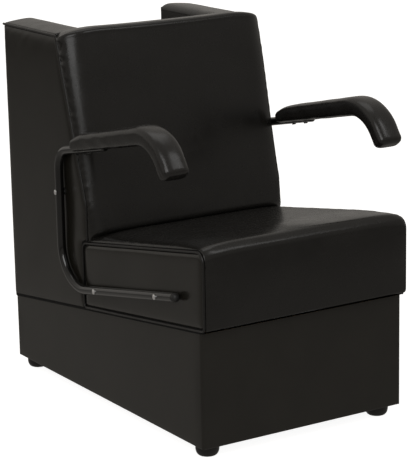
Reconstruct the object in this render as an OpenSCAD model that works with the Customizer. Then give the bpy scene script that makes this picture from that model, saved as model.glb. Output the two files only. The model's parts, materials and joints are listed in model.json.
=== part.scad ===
// A salon dryer chair: a sloped box base on four glides, a boxed seat, a padded back between two
// hollow wings with an open compartment behind it for a dryer, and two bent tube arms with pads.
// X is across the chair, the sitter faces -Y, and Z is up. Shapes are drawn from the lower front
// edge of the base, and on_floor() moves them so that the origin is on the floor at the middle.

/* [Upper unit] */
// Width over both sides of the seat and wings
unit_w = 584; // [520:1:680]
// How far the seat stands in front of the base
front_overhang = 19; // [8:1:30]
// How far the back stands behind the base
rear_overhang = 7; // [2:1:30]
// Thickness of the padded vinyl on the sides
skin_t = 6; // [4:0.5:8]
// Thickness of a single layer of vinyl
vinyl_t = 1.5; // [1:0.1:2.5]
// Diameter of the piping
pipe_d = 6; // [4:0.5:8]
// Play between soft layers
soft_gap = 0.3; // [0.2:0.05:0.6]

/* [Base] */
// How far each side of the unit stands out past the base
side_overhang = 3; // [0:0.5:20]
// Depth of the base
base_d = 930; // [860:1:1000]
// Height of the base at its front
base_front_h = 283; // [250:1:320]
// Height of the base at its rear
base_rear_h = 166; // [140:1:200]
// Thickness of the main plywood
ply_t = 18; // [15:0.5:22]
// Thickness of the padded vinyl round the base
base_skin_t = 3; // [1.5:0.5:6]
// Radius of the upright corners of the base
base_corner_r = 9; // [7:0.5:16]
// Side of the square corner blocks
block_w = 62; // [50:1:80]
// Thickness of the dust cover
dust_t = 1; // [0.5:0.25:2]

/* [Glides] */
// Radius of a glide
foot_r = 28.6; // [20:0.2:32]
// Height of a glide
foot_h = 30; // [20:1:45]
// Radius of a glide's lower edge
foot_edge_r = 9; // [3:0.5:12]
// Distance from the side of the base to a glide's centre
foot_inset_x = 40; // [36:1:50]
// Distance from the front of the base to a glide's centre
foot_inset_front = 45; // [36:1:60]
// Distance from the rear of the base to a glide's centre
foot_inset_rear = 36; // [33:1:60]
// Radius of a glide's screw
foot_screw_r = 4; // [3:0.25:5]
// Length of a glide's screw inside the block
foot_screw_len = 45; // [30:1:60]

/* [Seat] */
// Height of the seat's side edge above the base's lower edge, at its front
seat_front_z = 479; // [440:1:510]
// Height of the seat's side edge at its rear
seat_rear_z = 389; // [350:1:410]
// Depth of the seat box, from the front of the base
seat_box_d = 552; // [530:1:575]
// Crown of the seat over its side edge
seat_crown = 22; // [10:1:35]
// Swell of the seat's front face
seat_swell = 6; // [2:0.5:10]
// Radius of the seat's front edge
seat_edge_r = 27; // [18:1:40]
// Thickness of the seat foam over the rails
seat_foam_t = 80; // [60:1:95]
// Thickness of the padding on the seat's front
front_pad_t = 10; // [6:0.5:16]
// Number of springs
spring_count = 5; // [3:1:5]
// Diameter of the spring wire
spring_d = 4; // [3:0.25:5]
// Half turns of one spring
spring_bends = 16; // [8:2:20]
// Width of one spring
spring_w = 46; // [36:1:56]

/* [Back] */
// Height of the wing tops above the base's lower edge
wing_top_z = 900; // [860:1:960]
// Distance of the wings' top front corners behind the front of the base
wing_top_y = 650; // [620:1:680]
// Height of the knee of the wing's front edge
knee_z = 485; // [460:1:520]
// Distance of the knee behind the front of the base
knee_y = 521; // [505:1:530]
// Distance of the back cushion's face behind the front of the base, at the knee's height
face_knee_y = 503; // [490:1:508]
// Distance of the back cushion's face behind the front of the base, at the wing tops
face_top_y = 594; // [575:1:610]
// Crown of the back cushion's top over the wing tops
back_crown = 17; // [6:1:30]
// Dip in the middle of the back cushion's top
back_dip = 3; // [0:1:12]
// Radius of the back cushion's upper edge
back_edge_r = 27; // [16:1:38]
// Width of the rounding at the back cushion's sides
back_side_r = 22; // [14:1:40]
// Distance that the back cushion's top runs back from its face
back_top_d = 92; // [88:1:110]
// Thickness of the plywood of the wings, back and rear
wing_ply_t = 12; // [9:0.5:15]
// Width of one wing at its top
wing_w = 104; // [85:1:120]

/* [Dryer compartment] */
// Height of the shelf's top under the wing tops
shelf_depth = 280; // [220:1:320]
// Depth of the notch in the rear panel
notch_depth = 255; // [180:1:270]
// Distance between the shelf's holes across the chair
shelf_hole_x = 254; // [150:1:300]
// Distance between the shelf's holes front to back
shelf_hole_y = 102; // [60:1:110]
// Radius of a shelf hole
shelf_hole_r = 3.5; // [2.5:0.25:6]

/* [Arms] */
// Radius of an arm tube
tube_r = 11; // [9:0.5:14]
// Wall of an arm tube
tube_wall = 1.6; // [1.2:0.1:2.5]
// Thickness of the washers between tube and side
washer_t = 2; // [1:0.5:4]
// Radius of the lower bend at the tube's centre
bend_low_r = 100; // [80:1:140]
// Radius of the upper bend at the tube's centre
bend_top_r = 55; // [40:1:65]
// Distance of the upright tube behind the front of the base
upright_y = 631; // [610:1:650]
// Distance of the tube's front end behind the front of the base
tube_front_y = 84; // [50:1:110]
// Height of the lower tube at the front bolt
tube_low_z = 340; // [320:1:350]
// Distance of the front bolt behind the front of the base
bolt_front_y = 158; // [140:1:190]
// Distance of the rear lower bolt ahead of the back of the seat box
bolt_rear_inset = 102; // [90:1:130]
// Height of the upper bolt
bolt_top_z = 506; // [480:1:530]
// Radius of an arm bolt's shank
bolt_r = 4; // [3:0.25:5]
// Radius of an arm bolt's head
bolt_head_r = 6.5; // [5.5:0.25:9]
// Width of an arm pad
pad_w = 70; // [55:1:80]
// Thickness of an arm pad at its rear
pad_rear_t = 43; // [40:1:56]
// Thickness of an arm pad at its crest
pad_crest_t = 48; // [42:1:60]
// Thickness of an arm pad at its front end
pad_front_t = 44; // [36:1:52]
// Distance of the pad's rear end behind the front of the base
pad_rear_y = 519; // [500:1:535]
// Distance of the pad's bend behind the front of the base
pad_bend_y = 133; // [110:1:150]
// Distance of the pad's front end behind the front of the base
pad_front_y = 66; // [40:1:90]
// Drop of the pad's front end under its bend
pad_drop = 93; // [60:1:100]
// Radius of the pad's bend
pad_bend_r = 108; // [60:1:120]
// Thickness of the board under the pad
core_t = 12; // [9:0.5:15]

/* [Hidden] */
// Half widths
unit_x = unit_w / 2;
side_x = unit_x - skin_t;
base_x = unit_x - side_overhang;
base_in_x = base_x - base_skin_t - ply_t;
wing_in_x = unit_x - wing_w;
// Ends of the unit, front to back
unit_rear_y = base_d + rear_overhang;
front_y = -front_overhang;
unit_mid_y = (unit_rear_y + front_y - seat_swell) / 2;
rear_skin_t = 3;
rear_in_y = unit_rear_y - rear_skin_t;
rear_ply_y = rear_in_y - wing_ply_t;
// Overrun of a cut
cut = 2;
// Slopes, as height over depth
deck_rise = (base_front_h - base_rear_h) / base_d;
deck_angle = atan(deck_rise);
seat_rise = (seat_front_z - seat_rear_z) / seat_box_d;
seat_angle = atan(seat_rise);
wing_run = (wing_top_y - knee_y) / (wing_top_z - knee_z);
face_run = (face_top_y - face_knee_y) / (wing_top_z - knee_z);
function deck_z(y) = base_front_h - deck_rise * y;
function seat_line(y) = seat_front_z - seat_rise * y;
function wing_y(z) = knee_y + wing_run * max(0, z - knee_z);
function face_y(z) = face_knee_y + face_run * (z - knee_z);
// The seat box
seat_front_in_y = front_y + front_pad_t;
seat_rear_y = seat_box_d - pipe_d / 2;
seat_corner_r = 16;
seat_side_x = unit_x - pipe_d;
spring_cushion = 2;
foam_lift = spring_d + spring_cushion;
function rail_z(y) = seat_line(y) - seat_foam_t;
// The back box
groove = 2.5;
lip_slope = 12;
wing_low_y = seat_box_d + groove;
neck_z = seat_line(knee_y) + seat_crown + pipe_d / 4;
board_run = wing_ply_t / cos(atan(wing_run));
panel_top_z = wing_top_z - skin_t;
shelf_z = wing_top_z - shelf_depth;
lining_t = 2.5;
panel_in_x = wing_in_x + lining_t;
core_in_x = panel_in_x + wing_ply_t;
core_out_x = side_x - wing_ply_t;
notch_z = wing_top_z - notch_depth;
notch_x = wing_in_x;
top_rail_d = 20;
top_rail_h = 60;
// The arms
arm_x = unit_x + washer_t + tube_r;
tube_rise = tan(10.3);
function tube_low(y) = tube_low_z - tube_rise * (y - bolt_front_y);
pad_rise = tan(11.6);
tube_top_z = 611;
function tube_high(y) = tube_top_z + pad_rise * (upright_y - y);
tube_rear_y = 392;
tube_path = [[tube_front_y, tube_low(tube_front_y)], [upright_y, tube_low(upright_y)],
             [upright_y, tube_high(upright_y)], [tube_rear_y, tube_high(tube_rear_y)]];
tube_bends = [0, bend_low_r, bend_top_r, 0];
bolt_mid_y = seat_box_d - bolt_rear_inset;
bolt_places = [[bolt_front_y, tube_low(bolt_front_y)], [bolt_mid_y, tube_low(bolt_mid_y)],
               [upright_y, bolt_top_z]];
bolt_head_t = 4;
nut_t = 3;
nut_r = 9;
plug_len = 16;
plug_play = 0.4;
// The pad's lower face leaves the underside of the tube bare
pad_lift = 6;
function pad_low(y) = tube_high(y) - tube_r + pad_lift;
function pad_mid(y) = pad_low(y) + pad_rear_t / 2;

// Moves a shape from the base's lower front edge to the origin on the floor
module on_floor() {
    translate([0, -unit_mid_y, foot_h]) children();
}

// A flat plate between two places across the chair, with its outline in the side view
module side_plate(x0, x1, outline) {
    translate([x0, 0, 0])
        rotate([90, 0, 90])
            linear_extrude(x1 - x0) polygon(outline);
}

// A copy on each side of the chair, or one side only
module at_side(side) {
    mirror([side < 0 ? 1 : 0, 0, 0]) children();
}

// Length that a bend takes off the straight runs beside it
function turn_at(a, b, c) = let(u = b - a, v = c - b)
    acos(max(-1, min(1, (u * v) / (norm(u) * norm(v)))));
function bend_len(path, i, r) = r * tan(turn_at(path[i - 1], path[i], path[i + 1]) / 2);

// Stations along a path in the side view, each a place and a heading in degrees, with a bend of
// the radius in bends at each inner point
bend_step = 9;
function path_stations(path, bends) = let(n = len(path),
    cuts = [for (i = [0 : n - 1]) (i == 0 || i == n - 1) ? 0 : bend_len(path, i, bends[i])])
    [for (i = [0 : n - 1]) let(
        u = i == 0 ? path[1] - path[0] : path[i] - path[i - 1],
        v = i == n - 1 ? u : path[i + 1] - path[i],
        a = atan2(u[1], u[0]), turn = i == 0 || i == n - 1 ? 0 : turn_at(path[i - 1], path[i], path[i + 1]),
        left = u[0] * v[1] - u[1] * v[0] > 0 ? 1 : -1,
        centre = path[i] - u / norm(u) * cuts[i] + [-u[1], u[0]] / norm(u) * left * bends[i],
        steps = ceil(turn / bend_step))
        each turn == 0 ? [[path[i], a]]
            : [for (k = [0 : steps]) let(h = a + left * turn * k / steps)
                [centre + [sin(h), -cos(h)] * left * bends[i], h]]];
// One ring of points square to the path at a station
function rod_ring(station, r, sides) = let(p = station[0], h = station[1])
    [for (j = [0 : sides - 1]) let(a = 360 * (j + 0.5) / sides)
        [r * cos(a), p[0] - sin(h) * r * sin(a), p[1] + cos(h) * r * sin(a)]];
function ring_faces(n, k, start, flip) = [for (i = [0 : n - 2], j = [0 : k - 1], half = [0, 1])
    let(p = start + i * k + j, q = start + i * k + (j + 1) % k,
        tri = half == 0 ? [p, q + k, p + k] : [p, q, q + k])
    flip ? [tri[0], tri[2], tri[1]] : tri];
// A round rod along a path in the side view, or a tube with a bore of radius hole
module bent_rod(path, bends, r, hole = 0, sides = 12) {
    stations = path_stations(path, bends);
    n = len(stations);
    k = sides;
    outer = [for (st = stations) each rod_ring(st, r, k)];
    inner = hole > 0 ? [for (st = stations) each rod_ring(st, hole, k)] : [];
    m = n * k;
    caps = hole > 0
        ? [for (e = [0, (n - 1) * k], j = [0 : k - 1], half = [0, 1])
            let(p = e + j, q = e + (j + 1) % k,
                tri = half == 0 ? [p, q + m, q] : [p, p + m, q + m])
            e == 0 ? tri : [tri[0], tri[2], tri[1]]]
        : [for (e = [0, (n - 1) * k], j = [1 : k - 2])
            e == 0 ? [e, e + j + 1, e + j] : [e, e + j, e + j + 1]];
    polyhedron(points = concat(outer, inner), convexity = 8,
        faces = concat(ring_faces(n, k, 0, false), caps,
                       hole > 0 ? ring_faces(n, k, m, true) : []));
}

// Triangles of a closed slab between an outer and an inner grid of points, each nu by nv cells
function slab_faces(nu, nv) = let(w = nv + 1, k = (nu + 1) * w) concat(
    [for (i = [0 : nu - 1], j = [0 : nv - 1]) [i * w + j, (i + 1) * w + j + 1, (i + 1) * w + j]],
    [for (i = [0 : nu - 1], j = [0 : nv - 1]) [i * w + j, i * w + j + 1, (i + 1) * w + j + 1]],
    [for (i = [0 : nu - 1], j = [0 : nv - 1])
        [k + i * w + j, k + (i + 1) * w + j, k + (i + 1) * w + j + 1]],
    [for (i = [0 : nu - 1], j = [0 : nv - 1])
        [k + i * w + j, k + (i + 1) * w + j + 1, k + i * w + j + 1]],
    [for (i = [0 : nu - 1]) [i * w, k + (i + 1) * w, k + i * w]],
    [for (i = [0 : nu - 1]) [i * w, (i + 1) * w, k + (i + 1) * w]],
    [for (i = [0 : nu - 1]) [i * w + nv, k + i * w + nv, k + (i + 1) * w + nv]],
    [for (i = [0 : nu - 1]) [i * w + nv, k + (i + 1) * w + nv, (i + 1) * w + nv]],
    [for (j = [0 : nv - 1]) [j, k + j, k + j + 1]],
    [for (j = [0 : nv - 1]) [j, k + j + 1, j + 1]],
    [for (j = [0 : nv - 1]) [nu * w + j, k + nu * w + j + 1, k + nu * w + j]],
    [for (j = [0 : nv - 1]) [nu * w + j, nu * w + j + 1, k + nu * w + j + 1]]);
module slab(outer, inner) {
    nu = len(outer) - 1;
    nv = len(outer[0]) - 1;
    points = concat([for (row = outer) each row], [for (row = inner) each row]);
    polyhedron(points = points, faces = slab_faces(nu, nv), convexity = 6);
}

// Places across the chair, closer together near the sides
function spread(count, half) = [for (i = [0 : count]) half * sin(90 * (2 * i / count - 1))];

// The base

function deck_outline(y0, y1, drop) = [[y0, 0], [y1, 0], [y1, deck_z(y1) - drop],
                                       [y0, deck_z(y0) - drop]];
base_y0 = base_skin_t;
base_y1 = base_d - base_skin_t;

module base_side_panel(side) {
    color("burlywood") on_floor() at_side(side)
        side_plate(base_in_x, base_in_x + ply_t, deck_outline(base_y0, base_y1, 0));
}
module base_left_panel() { base_side_panel(-1); }
module base_right_panel() { base_side_panel(1); }
module base_front_panel() {
    color("burlywood") on_floor()
        side_plate(-base_in_x, base_in_x, deck_outline(base_y0, base_y0 + ply_t, 0));
}
module base_rear_panel() {
    color("burlywood") on_floor()
        side_plate(-base_in_x, base_in_x, deck_outline(base_y1 - ply_t, base_y1, 0));
}
module base_corner_blocks() {
    color("tan") on_floor() difference() {
        for (side = [-1, 1], y = [base_y0 + ply_t, base_y1 - ply_t - block_w])
            at_side(side)
                side_plate(base_in_x - block_w, base_in_x, deck_outline(y, y + block_w, ply_t));
        foot_screw_shapes();
        unit_bolt_shapes();
    }
}
module base_deck() {
    y0 = base_y0 + ply_t;
    y1 = base_y1 - ply_t;
    color("burlywood") on_floor() difference() {
        side_plate(-base_in_x, base_in_x, [[y0, deck_z(y0) - ply_t], [y1, deck_z(y1) - ply_t],
                                           [y1, deck_z(y1)], [y0, deck_z(y0)]]);
        unit_bolt_shapes();
    }
}
module base_plan(half, y0, y1, r) {
    union() {
        translate([-half + r, y0]) square([2 * (half - r), y1 - y0]);
        translate([-half, y0 + r]) square([2 * half, y1 - y0 - 2 * r]);
        for (side = [-1, 1], y = [y0 + r, y1 - r])
            translate([side * (half - r), y]) circle(r, $fn = 48);
    }
}
module base_cover() {
    color("#33302c") on_floor() difference() {
        intersection() {
            linear_extrude(base_front_h) base_plan(base_x, 0, base_d, base_corner_r);
            side_plate(-base_x - cut, base_x + cut, deck_outline(-cut, base_d + cut, 0));
        }
        translate([-base_x + base_skin_t, base_skin_t, -cut])
            cube([2 * (base_x - base_skin_t), base_d - 2 * base_skin_t, base_front_h + 2 * cut]);
    }
}
module dust_cover() {
    color("#202020") on_floor() difference() {
        translate([-base_in_x - ply_t / 2, base_y0 + ply_t / 2, -dust_t])
            cube([2 * base_in_x + ply_t, base_y1 - base_y0 - ply_t, dust_t]);
        for (side = [-1, 1], y = [foot_inset_front, base_d - foot_inset_rear])
            translate([side * (base_x - foot_inset_x), y, -dust_t - cut])
                cylinder(h = dust_t + 2 * cut, r = foot_r + soft_gap, $fn = 64);
    }
}

// The glides

module foot(side, y) {
    color("#141414") on_floor() translate([side * (base_x - foot_inset_x), y, 0])
        difference() {
            rotate_extrude($fn = 96) union() {
                translate([0, -foot_h]) square([foot_r - foot_edge_r, foot_h]);
                translate([0, -foot_h + foot_edge_r]) square([foot_r, foot_h - foot_edge_r]);
                intersection() {
                    translate([foot_r - foot_edge_r, -foot_h + foot_edge_r])
                        circle(foot_edge_r, $fn = 64);
                    translate([0, -foot_h]) square([foot_r, foot_h]);
                }
            }
            translate([0, 0, -foot_h / 2]) cylinder(h = foot_h / 2 + cut, r = foot_screw_r, $fn = 48);
            translate([0, 0, -foot_h - cut])
                cylinder(h = foot_h / 2 + cut, r = foot_screw_r * 2, $fn = 48);
        }
}
module foot_front_left() { foot(-1, foot_inset_front); }
module foot_front_right() { foot(1, foot_inset_front); }
module foot_rear_left() { foot(-1, base_d - foot_inset_rear); }
module foot_rear_right() { foot(1, base_d - foot_inset_rear); }
foot_head_t = 5;
module foot_screw_shapes() {
    for (side = [-1, 1], y = [foot_inset_front, base_d - foot_inset_rear])
        translate([side * (base_x - foot_inset_x), y, -foot_h / 2])
            cylinder(h = foot_h / 2 + foot_screw_len, r = foot_screw_r, $fn = 48);
}
module foot_screws() {
    color("silver") on_floor() union() {
        foot_screw_shapes();
        for (side = [-1, 1], y = [foot_inset_front, base_d - foot_inset_rear])
            translate([side * (base_x - foot_inset_x), y, -foot_h / 2 - foot_head_t])
                cylinder(h = foot_head_t, r = foot_screw_r * 2 - soft_gap, $fn = 48);
    }
}

// The seat box

function rail_outline(y0, y1) = [[y0, deck_z(y0)], [y1, deck_z(y1)], [y1, rail_z(y1)],
                                 [y0, rail_z(y0)]];
rail_y1 = seat_box_d - pipe_d / 2;
module seat_side_rail(side) {
    color("burlywood") on_floor() difference() {
        at_side(side)
            side_plate(side_x - ply_t, side_x, rail_outline(seat_front_in_y, rail_y1));
        arm_bolt_shapes();
    }
}
module seat_left_rail() { seat_side_rail(-1); }
module seat_right_rail() { seat_side_rail(1); }
module seat_cross_rails() {
    color("burlywood") on_floor()
        for (y = [seat_front_in_y, rail_y1 - ply_t])
            side_plate(-side_x + ply_t, side_x - ply_t, rail_outline(y, y + ply_t));
}
seat_block_h = 60;
module seat_corner_blocks() {
    color("tan") on_floor() difference() {
        for (side = [-1, 1], y = [seat_front_in_y + ply_t, rail_y1 - ply_t - block_w])
            at_side(side)
                side_plate(side_x - ply_t - block_w, side_x - ply_t,
                    [[y, deck_z(y)], [y + block_w, deck_z(y + block_w)],
                     [y + block_w, deck_z(y + block_w) + seat_block_h],
                     [y, deck_z(y) + seat_block_h]]);
        unit_bolt_shapes();
        arm_bolt_shapes();
        arm_nut_shapes();
    }
}
unit_bolt_r = 4;
unit_bolt_head_r = 9;
unit_bolt_head_t = 4;
unit_bolt_len = seat_block_h + ply_t;
module unit_bolt_places() {
    for (side = [-1, 1], y = [seat_front_in_y + ply_t + block_w / 2,
                              rail_y1 - ply_t - block_w / 2])
        translate([side * (base_in_x - block_w / 2), y, deck_z(y)])
            rotate([-deck_angle, 0, 0]) children();
}
module unit_bolt_shapes() {
    unit_bolt_places()
        translate([0, 0, -ply_t - unit_bolt_head_t])
            cylinder(h = unit_bolt_len + unit_bolt_head_t, r = unit_bolt_r, $fn = 48);
}
module unit_bolts() {
    color("silver") on_floor() union() {
        unit_bolt_shapes();
        unit_bolt_places()
            translate([0, 0, unit_bolt_len - ply_t])
                cylinder(h = unit_bolt_head_t, r = unit_bolt_head_r, $fn = 48);
    }
}

// The springs lie on the rails, in the plane of the seat

spring_y0 = seat_front_in_y + ply_t / 2;
spring_y1 = rail_y1 - ply_t / 2;
function tenth(v) = round(v * 10) / 10;
spring_bend_r = tenth((spring_y1 - spring_y0) / cos(seat_angle) / (spring_bends + 1) / 2);
spring_run = spring_bend_r * 2 * (spring_bends + 1);
spring_reach = tenth(spring_w / 2 - spring_bend_r);
module on_rails() {
    translate([0, spring_y0, rail_z(spring_y0)]) rotate([-seat_angle, 0, 0]) children();
}
spring_space = 2 * (side_x - ply_t) / (spring_count + 1);
function spring_x(i) = (i - (spring_count + 1) / 2) * spring_space;
module spring_bend(x, y, from, turn) {
    translate([x, y, 0]) rotate([0, 0, from]) rotate_extrude(angle = turn, $fn = 96)
        translate([spring_bend_r, 0]) circle(spring_d / 2, $fn = 24);
}
module spring_wire(x0, x1, y) {
    translate([min(x0, x1), y, 0]) rotate([0, 90, 0])
        cylinder(h = abs(x1 - x0), r = spring_d / 2, $fn = 24);
}
// A wire that snakes across its own middle line, from rail to rail
module seat_spring(i) {
    r = spring_bend_r;
    color("silver") on_floor() on_rails() translate([spring_x(i), 0, spring_d / 2]) {
        spring_bend(r, 0, 90, 90);
        spring_wire(r, spring_reach, r);
        for (k = [0 : spring_bends - 1]) {
            flip = k % 2 == 0 ? 1 : -1;
            spring_bend(flip * spring_reach, 2 * r * (k + 1), flip > 0 ? -90 : 90, 180);
            if (k < spring_bends - 1)
                spring_wire(-spring_reach, spring_reach, r + 2 * r * (k + 1));
        }
        spring_wire(-spring_reach, -r, r + 2 * r * spring_bends);
        spring_bend(-r, spring_run, -90, 90);
    }
}
module seat_spring_1() { seat_spring(1); }
module seat_spring_2() { seat_spring(2); }
module seat_spring_3() { seat_spring(3); }
module seat_spring_4() { seat_spring(4); }
module seat_spring_5() { seat_spring(5); }
clip_w = 16;
clip_d = 10;
clip_cover = 1;
clip_t = spring_d + clip_cover;
clip_slot = spring_d * 2;
module spring_clips() {
    color("gray") on_floor() on_rails() difference() {
        for (i = [1 : spring_count], y = [0, spring_run - clip_d])
            translate([spring_x(i) - clip_w / 2, y, 0]) cube([clip_w, clip_d, clip_t]);
        for (i = [1 : spring_count], end = [0, 1])
            translate([spring_x(i) - (end == 0 ? spring_d / 2 : clip_slot - spring_d / 2),
                       end * (spring_run - clip_d) - cut, -cut])
                cube([clip_slot, clip_d + 2 * cut, spring_d + cut]);
    }
}
insulator_t = 1;
module seat_insulator() {
    color("#d8d2c4") on_floor() on_rails()
        translate([-side_x + ply_t, clip_d + cut, spring_d])
            cube([2 * (side_x - ply_t), spring_run - 2 * clip_d - 2 * cut, insulator_t]);
}

// The seat's soft form. The crown fades out towards the sides and the front edge, and inset
// moves the surface inwards by a thickness.

crown_power = 7;
crown_fade_y = 150;
function side_fade(x) = sqrt(max(0, 1 - pow(abs(x) / seat_side_x, crown_power)));
function swell_fade(x) = 1 - pow(abs(x) / seat_side_x, 2 * crown_power);
function front_fade(y) = let(s = max(0, min(1, (y - front_y) / crown_fade_y)))
    0.35 + 0.65 * s * (2 - s);
function seat_z(x, y) = seat_line(y) + seat_crown * side_fade(x) * front_fade(y);
seat_face_cells = 5;
seat_edge_cells = 6;
seat_top_cells = 9;
seat_cells = seat_face_cells + seat_edge_cells + seat_top_cells;
seat_across = 20;
seat_cover_end_y = knee_y + board_run - soft_gap;
function seat_bottom_z(y) = deck_z(y) + soft_gap;
// A point of the seat's surface at a place across the chair and a step from the lower front edge
function seat_point(x, j, inset) =
    let(r = seat_edge_r - inset, y_c = front_y + seat_edge_r,
        z_c = seat_z(x, y_c) - seat_edge_r, z_b = seat_bottom_z(front_y))
    j < seat_face_cells
        ? let(s = j / seat_face_cells)
            [front_y + inset - seat_swell * sin(180 * s) * swell_fade(x), z_b + s * (z_c - z_b)]
        : j <= seat_face_cells + seat_edge_cells
        ? let(t = 90 * (j - seat_face_cells) / seat_edge_cells) [y_c - r * cos(t), z_c + r * sin(t)]
        : let(s = (j - seat_face_cells - seat_edge_cells) / seat_top_cells,
              y = y_c + s * (seat_cover_end_y - y_c))
            [y, seat_z(x, y) - inset];
// A point under the foam, beside the same step of its surface
function seat_under(x, j, inset) =
    let(p = seat_point(x, j, inset), y_in = seat_front_in_y)
    j <= seat_face_cells
        ? [y_in - soft_gap, min(p[1], rail_z(y_in) + foam_lift)]
        : j <= seat_face_cells + seat_edge_cells
        ? let(s = (j - seat_face_cells) / seat_edge_cells,
              y = y_in - soft_gap + s * (front_y + seat_edge_r - y_in + soft_gap))
            [y, rail_z(y) + foam_lift]
        : [p[0], rail_z(p[0]) + foam_lift];
function on_x(xs, scale_x, rows) = [for (i = [0 : len(xs) - 1])
    [for (p = rows[i]) [xs[i] * scale_x, p[0], p[1]]]];
seat_xs = spread(seat_across, seat_side_x);
module seat_cover() {
    color("#24221f") on_floor() slab(
        on_x(seat_xs, 1, [for (x = seat_xs) [for (j = [0 : seat_cells]) seat_point(x, j, 0)]]),
        on_x(seat_xs, 1, [for (x = seat_xs) [for (j = [0 : seat_cells])
            seat_point(x, j, vinyl_t)]]));
}
module seat_foam() {
    inset = vinyl_t + soft_gap;
    shrink = (seat_side_x - soft_gap) / seat_side_x;
    color("khaki") on_floor() slab(
        on_x(seat_xs, shrink, [for (x = seat_xs) [for (j = [0 : seat_cells])
            seat_point(x, j, inset)]]),
        on_x(seat_xs, shrink, [for (x = seat_xs) [for (j = [0 : seat_cells])
            seat_under(x, j, inset)]]));
}
// Outline of the seat's side, drawn in by a distance
function seat_outline(inset) =
    let(y0 = front_y + inset, y1 = seat_box_d - inset)
    [[y0, deck_z(y0) + inset], [y1, deck_z(y1) + inset], [y1, seat_line(y1) - inset],
     [y0, seat_line(y0) - inset]];
module rounded_plate(x0, x1, outline, radii) {
    n = len(outline);
    translate([x0, 0, 0]) rotate([90, 0, 90]) linear_extrude(x1 - x0)
        difference() {
            polygon(outline);
            for (i = [0 : n - 1])
                if (radii[i] > 0)
                    corner_cut(outline[(i + n - 1) % n], outline[i], outline[(i + 1) % n], radii[i]);
        }
}
// What a rounding takes off one corner of an outline that runs anticlockwise
module corner_cut(a, b, c, r) {
    u = (b - a) / norm(b - a);
    v = (c - b) / norm(c - b);
    back = r * tan(turn_at(a, b, c) / 2);
    centre = b - u * back + [-u[1], u[0]] * r;
    difference() {
        polygon([b - u * back, b + (u - v) * r, b + v * back, centre]);
        translate(centre) circle(r, $fn = 64);
    }
}
module seat_side_cover(side) {
    color("#33302c") on_floor() difference() {
        at_side(side) rounded_plate(side_x, unit_x, seat_outline(pipe_d),
            [pipe_d / 2, pipe_d / 2, seat_corner_r - pipe_d, seat_edge_r - pipe_d]);
        arm_bolt_shapes();
    }
}
module seat_side_cover_left() { seat_side_cover(-1); }
module seat_side_cover_right() { seat_side_cover(1); }
module seat_piping(side) {
    p = seat_outline(pipe_d / 2);
    r = pipe_d / 2;
    small_r = pipe_d;
    mid = (p[0] + p[1]) / 2;
    butt = (p[1] - p[0]) / norm(p[1] - p[0]) * soft_gap / 2;
    color("#1c1b19") on_floor() at_side(side) translate([unit_x - r, 0, 0])
        bent_rod([mid + butt, p[1], p[2], p[3], p[0], mid - butt],
            [0, small_r, seat_corner_r - r, seat_edge_r - r, small_r, 0], r);
}
module seat_piping_left() { seat_piping(-1); }
module seat_piping_right() { seat_piping(1); }

// The wings. Their outline in the side view stands back from the front edge by dy and from the
// top by dz.

lip_z = seat_line(knee_y) + pipe_d / 2;
function wing_outline(dy, dz, rear) = let(top = wing_top_z - dz)
    [[wing_low_y, deck_z(wing_low_y)], [rear, deck_z(rear)], [rear, top],
     [wing_y(top) + dy, top], [knee_y + dy, knee_z], [knee_y + dy, lip_z],
     [max(knee_y + dy, wing_low_y - lip_slope), lip_z], [wing_low_y, lip_z - lip_slope]];
module wing_outer_panel(side) {
    color("burlywood") on_floor() difference() {
        at_side(side)
            side_plate(core_out_x, side_x, wing_outline(board_run, skin_t, rear_ply_y));
        arm_bolt_shapes();
    }
}
module wing_left_outer_panel() { wing_outer_panel(-1); }
module wing_right_outer_panel() { wing_outer_panel(1); }
module wing_inner_panel(side) {
    color("burlywood") on_floor() at_side(side)
        side_plate(panel_in_x, core_in_x, wing_outline(board_run, skin_t, rear_ply_y));
}
module wing_left_inner_panel() { wing_inner_panel(-1); }
module wing_right_inner_panel() { wing_inner_panel(1); }
// A strip along the slanted front, between two heights
function slant_outline(z0, z1, dy, depth) =
    [[wing_y(z0) + dy, z0], [wing_y(z0) + dy + depth, z0],
     [wing_y(z1) + dy + depth, z1], [wing_y(z1) + dy, z1]];
spacer_h = 60;
module wing_spacers() {
    y0 = wing_low_y;
    y1 = rear_ply_y - ply_t;
    color("tan") on_floor() for (side = [-1, 1]) at_side(side) {
        side_plate(core_in_x, core_out_x, slant_outline(knee_z, panel_top_z, board_run, ply_t));
        side_plate(core_in_x, core_out_x, [[y0, deck_z(y0)], [y0 + ply_t, deck_z(y0 + ply_t)],
            [y0 + ply_t, deck_z(y0) + spacer_h], [y0, deck_z(y0) + spacer_h]]);
        side_plate(core_in_x, core_out_x, [[y1, deck_z(y1)], [rear_ply_y, deck_z(rear_ply_y)],
            [rear_ply_y, deck_z(y1) + spacer_h], [y1, deck_z(y1) + spacer_h]]);
        side_plate(core_in_x, core_out_x, [[y1, panel_top_z - spacer_h],
            [rear_ply_y, panel_top_z - spacer_h], [rear_ply_y, panel_top_z], [y1, panel_top_z]]);
    }
}
pipe_run = pipe_d / cos(atan(wing_run));
wing_corner_r = 14;
wing_knee_r = 40;
module wing_side_cover(side) {
    color("#33302c") on_floor() difference() {
        at_side(side) rounded_plate(side_x, unit_x, wing_outline(pipe_run, pipe_d, unit_rear_y),
            [0, 0, 0, wing_corner_r - pipe_d, 0, 0, 0, 0]);
        arm_bolt_shapes();
    }
}
module wing_side_cover_left() { wing_side_cover(-1); }
module wing_side_cover_right() { wing_side_cover(1); }
module wing_piping(side) {
    r = pipe_d / 2;
    top = wing_top_z - r;
    color("#1c1b19") on_floor() at_side(side) translate([unit_x - r, 0, 0])
        bent_rod([[unit_rear_y, top], [wing_y(top) + pipe_run / 2, top],
                  [knee_y + pipe_run / 2, knee_z], [knee_y + pipe_run / 2, lip_z]],
                 [0, wing_corner_r - r, wing_knee_r, 0], r);
}
module wing_piping_left() { wing_piping(-1); }
module wing_piping_right() { wing_piping(1); }
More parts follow.
